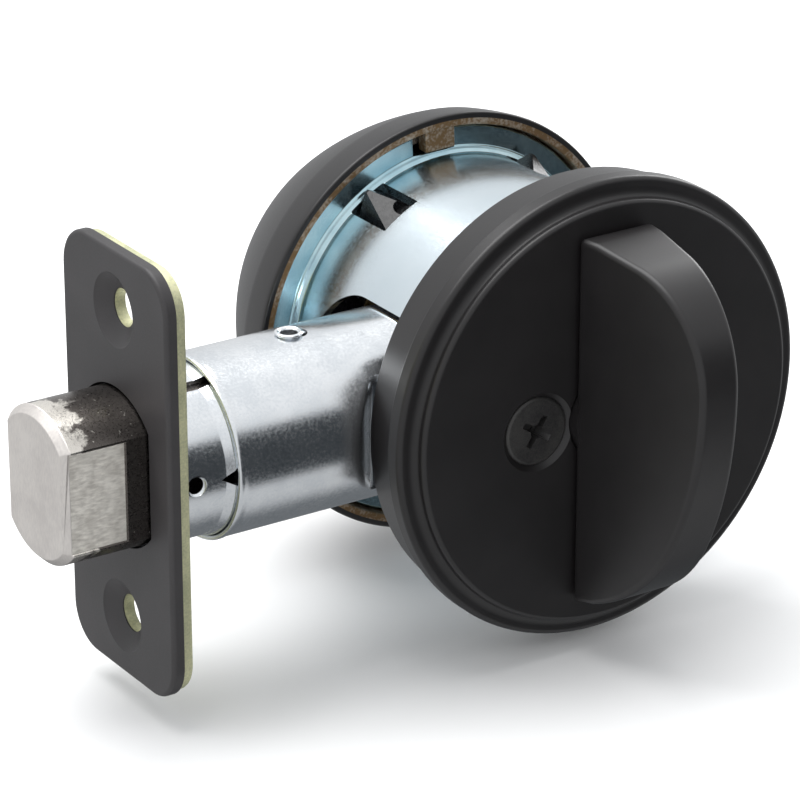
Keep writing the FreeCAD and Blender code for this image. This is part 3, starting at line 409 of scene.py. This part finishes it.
ROSE_RIM_OUT = 7.0        # door face to the front of the widest band
ROSE_BAND = 1.3           # length of the widest band
ROSE_RIM_ROUND = 1.2
ROSE_REAR = 29.9
ROSE_VALLEY = 29.3
ROSE_STEP = 28.45
ROSE_STEP_OUT = 8.5
ROSE_FACE = 27.1
ROSE_EDGE_ROUND = 1.3
ROSE_WALL = 1.5
SHAFT = 6.0
POST_X = 11.0
SINK_MOUTH = 5.2
HEAD = 4.65
HEAD_DEEP = 2.6
HEAD_SET = 0.3            # head set back from the rose's face


def sink_cutter(name, x, face):
    """Countersink with a broken edge at the face, for a flat-head bolt."""
    seat = face + HEAD_SET
    outline = [(0, face - 2), (SINK_MOUTH + 1.6, face - 2), (SINK_MOUTH + 0.12, face - 0.02),
               (SINK_MOUTH, face + 0.1), (HEAD + 0.05, seat + 0.15), (2.55, seat + HEAD_DEEP),
               (2.55, face + 8), (0, face + 8)]
    return lathe(name, outline, "y", (x, 0, 0), 96)


def make_rose():
    """Round cover: side wall, rolled rim, shallow valley and a raised face."""
    low, high = box("interior_rose")
    rim, face, seat = high.x, low.y, high.y
    rim_y = seat - ROSE_RIM_OUT
    outline = [(ROSE_REAR - ROSE_WALL, seat, 0.1), (ROSE_REAR, seat, 0.25)]
    outline += [(rim - 0.3, rim_y + ROSE_BAND + 0.25, 0.3), (rim, rim_y + ROSE_BAND, 0.3),
                (rim, rim_y - ROSE_RIM_ROUND, ROSE_RIM_ROUND),
                (ROSE_VALLEY, rim_y - ROSE_RIM_ROUND + 0.1, 3.0),
                (ROSE_STEP, seat - ROSE_STEP_OUT, 0.7), (ROSE_STEP - 0.05, face, ROSE_EDGE_ROUND),
                (SHAFT + 0.1, face, 0.3), (SHAFT + 0.1, face + ROSE_WALL),
                (ROSE_FACE - 1.4, face + ROSE_WALL, 0.6), (ROSE_VALLEY - 1.7, rim_y, 1.0)]
    rose = lathe("rose_cover", rounded(outline, 10), turns=288)
    carve(rose, sink_cutter("sink_near", -POST_X, face), sink_cutter("sink_far", POST_X, face))
    place(rose, "case", "satin_black", MATERIALS["satin_black"], ["interior_rose"], 32)


def cross_cutter(name, x, face, degrees):
    """Tapered cross recess."""
    parts = []
    for index in range(2):
        wing = prism(name, [(-2.35, 0.0), (-2.1, -0.4), (2.1, -0.4), (2.35, 0.0), (1.15, 1.9), (-1.15, 1.9)],
                     "z", -0.42, 0.42)
        parts.append(wing)
        turned(wing, "y", 90 * index)
    both = carve(parts[0], parts[1], how="UNION")
    core = bar(name + "_core", "y", 1.05, -0.4, 2.1, turns=32, end_radius=0.55)
    carve(both, core, how="UNION")
    turned(both, "y", degrees)
    both.data.transform(Matrix.Translation((x * MM, face * MM, 0)))
    return both


def thread(name, x, low, high, major, minor, pitch, turns=48):
    """Threaded shank along Y, with its ends tapered in."""
    per_turn = 8
    count = int((high - low) / pitch * per_turn)
    verts = []
    for turn in range(turns):
        angle = 2 * math.pi * turn / turns
        verts.append((x, low, 0))
        for ring in range(count + 1):
            y = low + (high - low) * ring / count
            phase = ((y - low) / pitch - turn / turns) % 1.0
            ridge = 1 - abs(2 * phase - 1)
            ends = min(1.0, (y - low) / pitch, (high - y) / pitch)
            radius = minor + (major - minor) * min(1.0, ridge * 1.25) * max(0.0, ends)
            verts.append((x + radius * math.cos(angle), y, radius * math.sin(angle)))
        verts.append((x, high, 0))
    return new_piece(name, verts, grid_faces(turns, count + 3))


def make_through_bolts():
    """The two flat-head bolts that hold the rose to the cylinder."""
    low, high = box("through_bolts")
    top, end = low.y, high.y
    for label, x, lean in (("near", -POST_X, 33), ("far", POST_X, 61)):
        head = lathe("bolt_head_" + label, rounded([
            (0, top + 0.02), (HEAD - 0.35, top, 0.5), (HEAD, top + 0.28, 0.12), (2.4, top + HEAD_DEEP),
            (2.3, top + HEAD_DEEP + 1.2), (0, top + HEAD_DEEP + 1.2)]), at=(x, 0, 0), turns=128)
        carve(head, cross_cutter("cross_" + label, x, top, lean))
        shank = thread("bolt_shank_" + label, x, top + HEAD_DEEP + 0.6, end, 2.4, 2.05, 0.8)
        made = joined("through_bolt_" + label, head, shank)
        place(made, "case", "screw_black", MATERIALS["screw_black"], ["through_bolts"], 30)


TURN_LIFT = 0.35          # gap between the rose and the grip
TURN_WIDE = 11.2
TURN_CREST = 5.4
TURN_ROUND = 0.8
GROOVE = 5.0              # shaft radius in the clip's groove


def make_thumbturn():
    """Half-moon grip whose sides close towards the crest, on a grooved shaft."""
    low, high = box("thumbturn")
    clip_low, clip_high = box("turn_retaining_clip")
    foot, top, crest, shaft_end = low.z, high.z, low.y, high.y
    base = box("interior_rose")[0].y - TURN_LIFT
    deep = base - crest
    shoulder, peak = (base - 9.49, top - 0.8), (crest, 9.54)
    waist, heel = (base - 16.27, -13.82), (base - 3.39, foot + 0.7)
    outline = [(base, top), (base - 3.2, top), *arc(shoulder, peak, 14.4, 22),
               *arc(peak, waist, 46.0, 22), *arc(waist, heel, 26.0, 16), heel, (base, foot)]
    slope = (TURN_WIDE - TURN_CREST) / 2 / (deep + 1)
    verts = []
    for side in (-1, 1):
        for y, z in outline:
            verts.append((side * (TURN_WIDE / 2 - slope * (base - y)), y, z))
    count = len(outline)
    faces = [tuple(range(count)), tuple(range(2 * count - 1, count - 1, -1))]
    faces += [(i, (i + 1) % count, count + (i + 1) % count, count + i) for i in range(count)]
    grip = new_piece("grip", verts, faces)
    soften(grip, TURN_ROUND, 5, 24)
    shaft = lathe("shaft", rounded([
        (0, base - 1), (SHAFT, base - 1), (SHAFT, clip_low.y), (GROOVE, clip_low.y),
        (GROOVE, clip_high.y), (SHAFT, clip_high.y), (SHAFT, shaft_end, 0.4), (0, shaft_end)]), turns=96)
    bar_low, bar_high = box("tailpiece")
    carve(shaft, brick("bar_slot", (bar_low.x - 0.1, bar_low.y, bar_low.z - 0.1),
                       (bar_high.x + 0.1, 0, bar_high.z + 0.1)))
    place(joined("thumbturn_grip", grip, shaft), "turn", "satin_black", MATERIALS["satin_black"],
          ["thumbturn"], 30)


# ---------------------------------------------------------------- outside collar and cup

COLLAR_CREASE = 28.56
COLLAR_CREASE_OUT = 5.5
COLLAR_NOSE = 20.8
COLLAR_WALL = 1.75
WORN_RIM = 0.8            # bare edge starts this far inside the rim
KEY_TAB = (-2.3, 2.3)
KEY_LEAN = -2.0


def make_collar():
    """Domed collar with a bare inner rim and the key tab that keeps it from turning."""
    low, high = box("exterior_collar")
    base, seat, front = high.x, low.y, high.y
    rim = box("cylinder_shell")[1].x + 0.15
    flange_corner = box("housing_cup")[1]
    flange, flange_back = flange_corner.x, flange_corner.y
    crease = (COLLAR_CREASE, seat + COLLAR_CREASE_OUT)
    outline = [(base - COLLAR_WALL, seat, 0.3), (base - WORN_RIM, seat), (base - 0.02, seat, 0.35)]
    outline += arc((base, seat + 0.6), crease, 60.0, 8)
    outline += arc(crease, (COLLAR_NOSE + 0.7, front - 0.35), 60.0, 30)
    outline += [(COLLAR_NOSE, front, 0.5), (rim, front, 0.25), (rim, front - 1.6), (17.3, front - 1.6),
                (17.3, front - 3.3), (COLLAR_NOSE - 0.5, front - 3.3, 0.6),
                (flange - 1.7, flange_back + 1.2, 0.4), (flange + 0.3, flange_back + 1.2)]
    shell = lathe("shell", rounded(outline), turns=288)
    tab = brick("tab", (KEY_TAB[0], seat + 0.4, flange - 2.6), (KEY_TAB[1], flange_back - 0.1, flange + 0.9))
    soften(tab, 0.2, 3)
    turned(tab, "y", KEY_LEAN)
    made = joined("collar_shell", shell, tab)
    for face in made.data.polygons:
        at = face.center / MM
        reach = math.hypot(at.x, at.z)
        worn = reach < base - WORN_RIM and at.y < flange_back + 1.5
        face.material_index = int(worn)
    place(made, "case", "satin_black", [MATERIALS["satin_black"], MATERIALS["raw_rim"]],
          ["exterior_collar"], 32)


CUP_WALL = 1.2
CUP_BARREL = 23.7
STEP_OUT = 0.5            # the pressed ring where the barrel meets the flange
WINDOW_LEANS = (-31.3, 31.3, 148.7, 211.3)
WINDOW = (9.4, 17.4)
WINDOW_HALF = 3.0
ARCH_HALF = 11.9
ARCH_TOP = 13.2
ARCH_CORNER = 8.0


def make_cup():
    """Drawn cup with a pressed ring, four windows, a key notch and an arch for the bolt tube."""
    low, high = box("housing_cup")
    wall, barrel = CUP_WALL, CUP_BARREL
    flange, mouth, back = high.x, low.y, high.y
    face = back - wall
    outline = [(barrel - wall, mouth, 0.2), (barrel, mouth, 0.35), (barrel, face - 0.75, 0.5),
               (barrel + STEP_OUT, face - 0.35, 0.18), (barrel + STEP_OUT + 0.28, face - 0.22, 0.12),
               (barrel + STEP_OUT + 0.5, face, 0.25), (flange, face, 0.3), (flange, back, 0.3),
               (barrel - wall, back)]
    cup = lathe("cup_body", rounded(outline), turns=320)
    for index, lean in enumerate(WINDOW_LEANS):
        hole = prism("hole%d" % index, rounded([
            (-WINDOW_HALF, WINDOW[0], 0.25), (WINDOW_HALF, WINDOW[0], 0.25),
            (WINDOW_HALF, WINDOW[1], 0.25), (-WINDOW_HALF, WINDOW[1], 0.25)]), "z", barrel - 4, barrel + 2)
        carve(cup, turned(hole, "y", lean))
    notch = brick("notch", (KEY_TAB[0] - 1.6, face - 1, flange - 2.9),
                  (KEY_TAB[1] + 0.3, back + 1, flange + 1))
    carve(cup, turned(notch, "y", KEY_LEAN))
    arch = prism("arch", rounded([(mouth - 1, -ARCH_HALF), (ARCH_TOP, -ARCH_HALF, ARCH_CORNER),
                                  (ARCH_TOP, ARCH_HALF, ARCH_CORNER), (mouth - 1, ARCH_HALF)], 16),
                 "x", -barrel - 1, -2)
    carve(cup, arch)
    soften(cup, 0.1, 2, 40)
    place(cup, "case", "blue_zinc", MATERIALS["blue_zinc"], ["housing_cup"], 32)


INSERT_IN = 17.0
INSERT_OUT = 22.5
INSERT_SPAN = (9.7, 18.0)
BARB_TIP = 25.4
BARB_MARGIN = 0.25        # barb to the window's edge


def make_insert():
    """Plastic ring behind the cup's wall, with a hollowed barb standing out of each window."""
    inner, outer, tip = INSERT_IN, INSERT_OUT, BARB_TIP
    near, far = INSERT_SPAN
    ring = lathe("insert_band", [(inner, near), (outer, near), (outer, far), (inner, far)], turns=192)
    carve(ring, brick("channel", (-25, -1, -ARCH_HALF), (0, ARCH_TOP, ARCH_HALF)))
    parts = [ring]
    wide, near, far = WINDOW_HALF - BARB_MARGIN, WINDOW[0] + BARB_MARGIN, WINDOW[1] - BARB_MARGIN
    foot, crest = outer - 0.5, 0.25
    for index, lean in enumerate(WINDOW_LEANS):
        barb = new_piece("barb%d" % index, [
            (-wide, near, foot), (wide, near, foot), (wide, far, foot), (-wide, far, foot),
            (-crest, far - 0.9, tip), (crest, far - 0.9, tip),
            (crest, far - 1.3, tip), (-crest, far - 1.3, tip)],
            [(0, 1, 2, 3), (4, 5, 6, 7), (0, 1, 6, 7), (1, 2, 5, 6), (2, 3, 4, 5), (3, 0, 7, 4)])
        hollow = bar("hollow%d" % index, "z", 1.0, outer - 0.4, tip, (1.35, near + 1.9, 0), 32)
        carve(barb, hollow)
        soften(barb, 0.08, 2, 20)
        parts.append(turned(barb, "y", lean))
    place(joined("cup_insert_ring", *parts), "case", "black_plastic", MATERIALS["black_plastic"],
          ["cup_insert"], 28)


# ---------------------------------------------------------------- bolt tubes

def squeeze(reach, limit, soft=0.45):
    """Smooth clamp to plus or minus limit."""
    size = abs(reach)
    if size <= limit - soft:
        return reach
    if size >= limit + soft:
        return math.copysign(limit, reach)
    over = size - limit + soft
    return math.copysign(size - over ** 2 / (4 * soft), reach)


def ramp(x, start, end, first, last):
    """Straight change from first to last between two places."""
    share = min(1.0, max(0.0, (x - start) / (end - start)))
    return first + (last - first) * share


TUBE = 12.05
TUBE_WALL = 0.7
LIP_LONG = 1.15
LIP_PROUD = 0.1
FLAT = (-33.4, -29.0, 9.4)
NOSE = (-22.2, -20.4, 11.2)
RIVET_X = -35.3
RIVET_EYE = 1.5
RIVET_SLACK = 1.0         # the outer tube's eye is this much longer than the rivet
HUB_HOLE = 5.0
POST_HOLE = 2.9
ARM_SLOT = ((-17.95, -7.7, -14), (-3.5, -5.9))      # way of the crank's arm; open at the tube's tail


def tube_point(x, inset, angle):
    """Point of the pressed tube: round, then flattened towards the door's faces, then lowered."""
    radius = TUBE - inset
    wide = ramp(x, FLAT[0], FLAT[1], TUBE + 0.5, FLAT[2]) - inset
    tall = ramp(x, NOSE[0], NOSE[1], TUBE + 0.5, NOSE[2]) - inset
    return (x, squeeze(radius * math.cos(angle), wide), squeeze(radius * math.sin(angle), tall))


def make_rear_tube():
    """Pressed tube with a rolled lip, and its holes for the hub, bolts, arm and rivet."""
    low, high = box("rear_tube")
    lip, tail = low.x, high.x
    stations = [lip + LIP_LONG + 0.5 + 0.9 * step for step in range(16)]
    stations += [FLAT[0] - 0.6 + 0.35 * step for step in range(16)]
    stations += [FLAT[1] + 1.2 + 1.1 * step for step in range(5)]
    stations += [NOSE[0] - 0.4 + 0.3 * step for step in range(9)]
    stations += [NOSE[1] + 1.5 + 2.2 * step for step in range(15)]
    stations = sorted(x for x in stations if x < tail - 0.6)
    outside = [(lip + 0.42, TUBE_WALL), (lip + 0.12, TUBE_WALL - 0.16), (lip, TUBE_WALL - 0.38),
               (lip, 0.3), (lip + 0.1, 0.1), (lip + 0.3, 0.0), (lip + LIP_LONG - 0.35, 0.0),
               (lip + LIP_LONG, LIP_PROUD)]
    outside += [(x, LIP_PROUD) for x in stations]
    outside += [(tail - 0.15, LIP_PROUD), (tail, LIP_PROUD + 0.15), (tail, TUBE_WALL - 0.15),
                (tail - 0.15, TUBE_WALL)]
    outside += [(x, TUBE_WALL) for x in reversed(stations)]
    turns = 288
    verts = [tube_point(x, inset, 2 * math.pi * turn / turns)
             for turn in range(turns) for x, inset in outside]
    tube = new_piece("pressed_tube", verts, grid_faces(turns, len(outside)))
    cutters = [bar("hub_hole", "y", HUB_HOLE, -14, 14),
               bar("post_near", "y", POST_HOLE, -14, 14, (-POST_X, 0, 0)),
               bar("post_far", "y", POST_HOLE, -14, 14, (POST_X, 0, 0)),
               brick("arm_slot", ARM_SLOT[0], (tail + 1, *ARM_SLOT[1])),
               bar("eye_a", "z", RIVET_EYE, 5, 14, (RIVET_X, 0, 0)),
               bar("eye_b", "z", RIVET_EYE, 5, 14, (RIVET_X + RIVET_SLACK, 0, 0)),
               brick("eye_c", (RIVET_X, -RIVET_EYE, 5), (RIVET_X + RIVET_SLACK, RIVET_EYE, 14))]
    carve(tube, *cutters)
    place(tube, "case", "bright_zinc", MATERIALS["bright_zinc"], ["rear_tube"], 34)


SLEEVE = 10.98
SLEEVE_IN = 10.33
PEEP = 1.1
PEEP_X = -55.4
NOTCH = (-51.9, 2.2, 1.2)  # point, length and half width
SLOT_HALF = 0.8
SLOT_END = -46.0
SLOT_LEAN = 22.0


def make_front_tube():
    """Bolt sleeve with its peep hole, notch and long slot."""
    low, high = box("front_tube")
    start, end, flare = low.x, high.x, high.y
    lip = box("rear_tube")[0].x
    outline = [(SLEEVE_IN, start), (SLEEVE, start)]
    outline += [(SLEEVE, lip - 1.3, 0.8), (flare - 0.06, lip - 0.1, 0.3), (flare - 0.06, lip + 0.5, 0.4),
                (SLEEVE, lip + 1.6, 0.6), (SLEEVE, end - 4.2, 0.4), (flare, end - 3.4, 0.4),
                (flare, end, 0.2), (SLEEVE_IN, end, 0.2)]
    tube = lathe("bolt_sleeve", rounded(outline), "x", turns=224)
    peep = lathe("peep", [(0, -SLEEVE - 1), (PEEP + 0.8, -SLEEVE - 1), (PEEP + 0.25, -SLEEVE + 0.18),
                          (PEEP, -SLEEVE + 0.4), (PEEP, -6), (0, -6)], "y", (PEEP_X, 0, 0), 64)
    point, long, half = NOTCH
    notch = prism("notch", [(point, 0), (point + long, -half), (point + long, half)], "y", -SLEEVE - 2, -5)
    slot = turned(brick("slot", (start - 1, -SLOT_HALF, 5), (SLOT_END, SLOT_HALF, 13)), "x", SLOT_LEAN)
    eye = bar("eye", "z", RIVET_EYE, 5, 14, (RIVET_X, 0, 0))
    carve(tube, peep, notch, slot, eye)
    place(tube, "case", "bright_zinc", MATERIALS["bright_zinc"], ["front_tube"], 34)


def make_rivet():
    """Hollow rivet that joins the two tubes."""
    high = box("tube_rivet")[1]
    rim, top = high.x - RIVET_X, high.z
    ring = lathe("rivet_ring", rounded([
        (1.1, SLEEVE_IN + 0.1), (1.5, SLEEVE_IN + 0.1), (1.5, TUBE + 0.02), (rim, TUBE + 0.02, 0.1),
        (rim, top - 0.12, 0.14), (1.5, top, 0.2), (1.1, top - 0.25, 0.2)]), "z", (RIVET_X, 0, 0), 72)
    place(ring, "case", "bright_zinc", MATERIALS["bright_zinc"], ["tube_rivet"], 30)


# ---------------------------------------------------------------- bolt and plates

def loft(name, rings, section):
    """Solid along X between rings of (x, inset); section gives the outline drawn in by an inset."""
    verts = []
    for x, inset in rings:
        verts += [(x, y, z) for y, z in section(inset)]
    count = len(verts) // len(rings)
    faces = [tuple(range(count)), tuple(range(len(verts) - 1, len(verts) - count - 1, -1))]
    faces += [(r * count + p, r * count + (p + 1) % count,
               (r + 1) * count + (p + 1) % count, (r + 1) * count + p)
              for r in range(len(rings) - 1) for p in range(count)]
    return new_piece(name, verts, faces)


BOLT = 10.25
BOLT_FLAT = 7.6
BOLT_BEVEL = 1.0
MILLED_DEEP = 0.2
MILLED_LONG = 8.6
MILLED_HALF = 6.6
ROLLER_BORE = 3.19
TAIL_RIVET = 1.25
TAIL_RIVET_Z = 6.2


def bolt_section(inset, steps=28):
    """Outline of the flat-sided bolt in the door's edge plane."""
    radius, half = BOLT - inset, BOLT_FLAT - inset
    lean = math.acos(half / radius)
    out = []
    for top in (0, math.pi):
        for step in range(steps + 1):
            angle = top + lean + (math.pi - 2 * lean) * step / steps
            out.append((radius * math.cos(angle), radius * math.sin(angle)))
    return out


def make_bolt():
    """Flat-sided bolt with a milled patch on each side."""
    low, high = box("deadbolt")
    tip, back = low.x, high.x
    bolt = loft("bolt_bar", [(tip, BOLT_BEVEL), (tip + BOLT_BEVEL, 0), (back, 0)], bolt_section)
    for side in (-1, 1):
        near, far = sorted((side * (BOLT_FLAT - MILLED_DEEP), side * (BOLT_FLAT + 1)))
        carve(bolt, brick("milled", (tip - 1, near, -MILLED_HALF), (tip + MILLED_LONG, far, MILLED_HALF)))
    soften(bolt, 0.14, 3, 25)
    carve(bolt, bar("roller_bore", "x", ROLLER_BORE, back - 28, back + 1),
          bar("rivet_top", "x", TAIL_RIVET, back - 6, back + 1, (0, 0, TAIL_RIVET_Z)),
          bar("rivet_low", "x", TAIL_RIVET, back - 6, back + 1, (0, 0, -TAIL_RIVET_Z)))
    for face in bolt.data.polygons:
        at = face.center / MM
        milled = abs(at.y) > BOLT_FLAT - 0.25 and at.x < tip + 8.5 and abs(at.z) < 6.5
        face.material_index = 0 if at.x < tip + 1.1 else 1 if milled else 2
    finishes = [MATERIALS[name] for name in ("satin_nickel", "milled_nickel", "dark_nickel")]
    place(bolt, "bolt", "satin_nickel", finishes, ["deadbolt"], 30)


def plate_section(half_wide, half_tall, corner):
    """Section function of an upright rounded plate."""
    def section(inset):
        """Outline of the plate drawn in by an inset."""
        wide, tall = half_wide - inset, half_tall - inset
        radius = max(0.2, corner - inset)
        return rounded([(-wide, -tall, radius), (wide, -tall, radius), (wide, tall, radius),
                        (-wide, tall, radius)], 14)
    return section


SCREW_Z = 20.65
SCREW_HOLE = 2.45
PLATE_CORNER = 5.5
PLATE_ROUND = 0.6


def make_plates():
    """Countersunk plate at the door's edge and the plain plate behind it."""
    low, high = box("faceplate")
    front, back = low.x, high.x
    angles = [step * math.pi / 12 for step in range(7)]
    rings = [(front + PLATE_ROUND * (1 - math.cos(angle)), PLATE_ROUND * (1 - math.sin(angle)))
             for angle in angles]
    rings += [(back - 0.12, 0), (back, 0.12)]
    plate = loft("face_plate", rings, plate_section(high.y, high.z, PLATE_CORNER))
    opening = loft("opening", [(front - 1, -0.3), (back + 3, -0.3)], bolt_section)
    carve(plate, opening)
    for z in (SCREW_Z, -SCREW_Z):
        sink = lathe("sink", [(0, front - 1), (5.6, front - 1), (4.75, front + 0.06), (4.6, front + 0.2),
                              (SCREW_HOLE, front + 1.5), (SCREW_HOLE, back + 3), (0, back + 3)],
                     "x", (0, 0, z), 96)
        carve(plate, sink)
    soften(plate, 0.1, 2, 40)
    place(plate, "case", "plate_black", MATERIALS["plate_black"], ["faceplate"], 30)
    low, high = box("backing_plate")
    front, back = low.x, high.x
    backer = loft("back_plate", [(front, 0.15), (front + 0.15, 0.0), (back - 0.45, 0.0), (back - 0.12, 0.15),
                                 (back, 0.45)], plate_section(high.y, high.z, PLATE_CORNER - 0.4))
    carve(backer, bar("tube_hole", "x", SLEEVE + 0.08, front - 1, back + 1, turns=160))
    for z in (SCREW_Z, -SCREW_Z):
        carve(backer, bar("screw_hole", "x", SCREW_HOLE, front - 1, back + 1, (0, 0, z)))
    soften(backer, 0.08, 2, 40)
    place(backer, "case", "yellow_zinc", MATERIALS["yellow_zinc"], ["backing_plate"], 30)


PINS = 5
PIN_PITCH = 3.96
PIN_WIRE = 0.16
COIL_TURNS = 7


def coil(name, x, y, low, high, radius, wire, turns):
    """Closed-end coil spring standing along Z."""
    around, per_turn = 10, 28
    count = turns * per_turn
    verts = []
    for step in range(count + 1):
        angle = 2 * math.pi * step / per_turn
        along = step / count
        z = low + wire + (high - low - 2 * wire) * (0.5 - math.cos(math.pi * along) / 2)
        for corner in range(around):
            spin = 2 * math.pi * corner / around
            reach = radius - wire + wire * math.cos(spin)
            verts.append((x + reach * math.cos(angle), y + reach * math.sin(angle),
                          z + wire * math.sin(spin)))
    faces = [(s * around + c, s * around + (c + 1) % around, (s + 1) * around + (c + 1) % around,
              (s + 1) * around + c) for s in range(count) for c in range(around)]
    faces += [tuple(range(around)), tuple(range(len(verts) - 1, len(verts) - around - 1, -1))]
    return new_piece(name, verts, faces)


def make_coils():
    """The springs over the key pins."""
    low, high = box("pin_springs")
    last = high.y - high.x
    coils = [coil("coil%d" % index, 0, last - PIN_PITCH * index, low.z, high.z, high.x, PIN_WIRE, COIL_TURNS)
             for index in range(PINS)]
    place(joined("pin_spring_coils", *coils), "case", "spring_steel", MATERIALS["spring_steel"],
          ["pin_springs"], 60)


def finish_cad_nodes():
    """Materials of the CAD nodes that show as they are."""
    slots = {part["node"]: part["material_slot"] for part in frame["record"]["subparts"]}
    for name, shown in frame["nodes"].items():
        if shown.hide_render:
            continue
        shown.data.materials.clear()
        shown.data.materials.append(MATERIALS[slots[name]])


make_rose()
make_through_bolts()
make_thumbturn()
make_collar()
make_cup()
make_insert()
make_rear_tube()
make_front_tube()
make_rivet()
make_bolt()
make_plates()
make_coils()
finish_cad_nodes()

# ---------------------------------------------------------------- stage, light and camera

FLOOR_DROP = 1.5          # floor below the lowest point
DARK_WAY = (0.505, -0.855, -0.1)
DARK_EDGE = (0.81, 0.91)  # the opening's soft edge, as cosines from its middle
SHADE_WAY = (0.45, 0.42, -0.79)
SHADE_EDGE = (0.72, 0.96)
CAMERA_AT = (-278.183, -395.437, 200.131)
CAMERA_TO = (-18.833, -0.381, -0.753)
CAMERA_LENS = 179.4       # millimetres, on a 36 mm sensor


def make_floor():
    """Pale paper under the object."""
    made, tree, shader = start_material("floor_paper")
    shader.inputs["Roughness"].default_value = 0.9
    tone = span(tree, grain(tree, 40.0), 0.0, 1.0)
    tree.links.new(blend(tree, tone, (0.90, 0.90, 0.90), (0.93, 0.93, 0.93)), shader.inputs["Base Color"])
    floor = prism("floor", [(-4000, -4000), (4000, -4000), (4000, 4000), (-4000, 4000)], "z",
                  cad_box[0].z / MM - FLOOR_DROP - 5, cad_box[0].z / MM - FLOOR_DROP)
    floor.data.materials.append(made)
    floor.visible_glossy = False


def make_light(name, at, size, power, to=(0, 0, 0)):
    """Soft box at a place in millimetres, facing a point; size is its width and height."""
    lamp = bpy.data.objects.new(name, bpy.data.lights.new(name, "AREA"))
    lamp.data.shape = "RECTANGLE"
    lamp.data.size, lamp.data.size_y = size[0] * MM, size[1] * MM
    lamp.data.energy = power
    lamp.location = Vector(at) * MM
    lamp.rotation_euler = (Vector(to) - Vector(at)).to_track_quat("-Z", "Y").to_euler()
    lamp.visible_camera = False
    bpy.context.scene.collection.objects.link(lamp)


def make_world():
    """Pale tent all round, with a dark opening in front and the shaded ground behind and below."""
    world = bpy.data.worlds.new("studio")
    world.use_nodes = True
    tree = world.node_tree
    way = node(tree, "TexCoord").outputs["Generated"]
    towards = node(tree, "VectorMath", {0: way, 1: DARK_WAY}, operation="DOT_PRODUCT").outputs["Value"]
    opening = node(tree, "MapRange", {"Value": towards, "From Min": DARK_EDGE[0], "From Max": DARK_EDGE[1]},
                   interpolation_type="SMOOTHSTEP").outputs["Result"]
    height = node(tree, "SeparateXYZ", {0: way}).outputs["Z"]
    lift = node(tree, "MapRange", {"Value": height, "From Min": -0.9, "From Max": 0.9,
                                   "To Min": 0.55, "To Max": 1.0}).outputs["Result"]
    tent = blend(tree, lift, (0.0, 0.0, 0.0), (0.97, 0.985, 1.0))
    below = node(tree, "VectorMath", {0: way, 1: SHADE_WAY}, operation="DOT_PRODUCT").outputs["Value"]
    shade = node(tree, "MapRange", {"Value": below, "From Min": SHADE_EDGE[0], "From Max": SHADE_EDGE[1]},
                 interpolation_type="SMOOTHSTEP").outputs["Result"]
    tent = blend(tree, shade, tent, (0.16, 0.17, 0.18))
    tree.links.new(blend(tree, opening, tent, (0.045, 0.05, 0.055)),
                   tree.nodes["Background"].inputs["Color"])
    tree.nodes["Background"].inputs["Strength"].default_value = 1.0
    bpy.context.scene.world = world


def make_camera():
    """Long lens that sees the room side from the left and above."""
    camera = bpy.data.objects.new("camera", bpy.data.cameras.new("camera"))
    camera.data.lens = CAMERA_LENS
    camera.data.sensor_width = 36.0
    camera.data.clip_start, camera.data.clip_end = 0.01, 50.0
    camera.location = Vector(CAMERA_AT) * MM
    camera.rotation_euler = (Vector(CAMERA_TO) - Vector(CAMERA_AT)).to_track_quat("-Z", "Y").to_euler()
    bpy.context.scene.collection.objects.link(camera)
    bpy.context.scene.camera = camera


make_floor()
make_light("key", (-150, 250, 800), (700, 700), 7.0)
make_light("side", (600, 350, 300), (300, 500), 2.0)
make_world()
make_camera()
bpy.context.scene.view_settings.view_transform = "Standard"
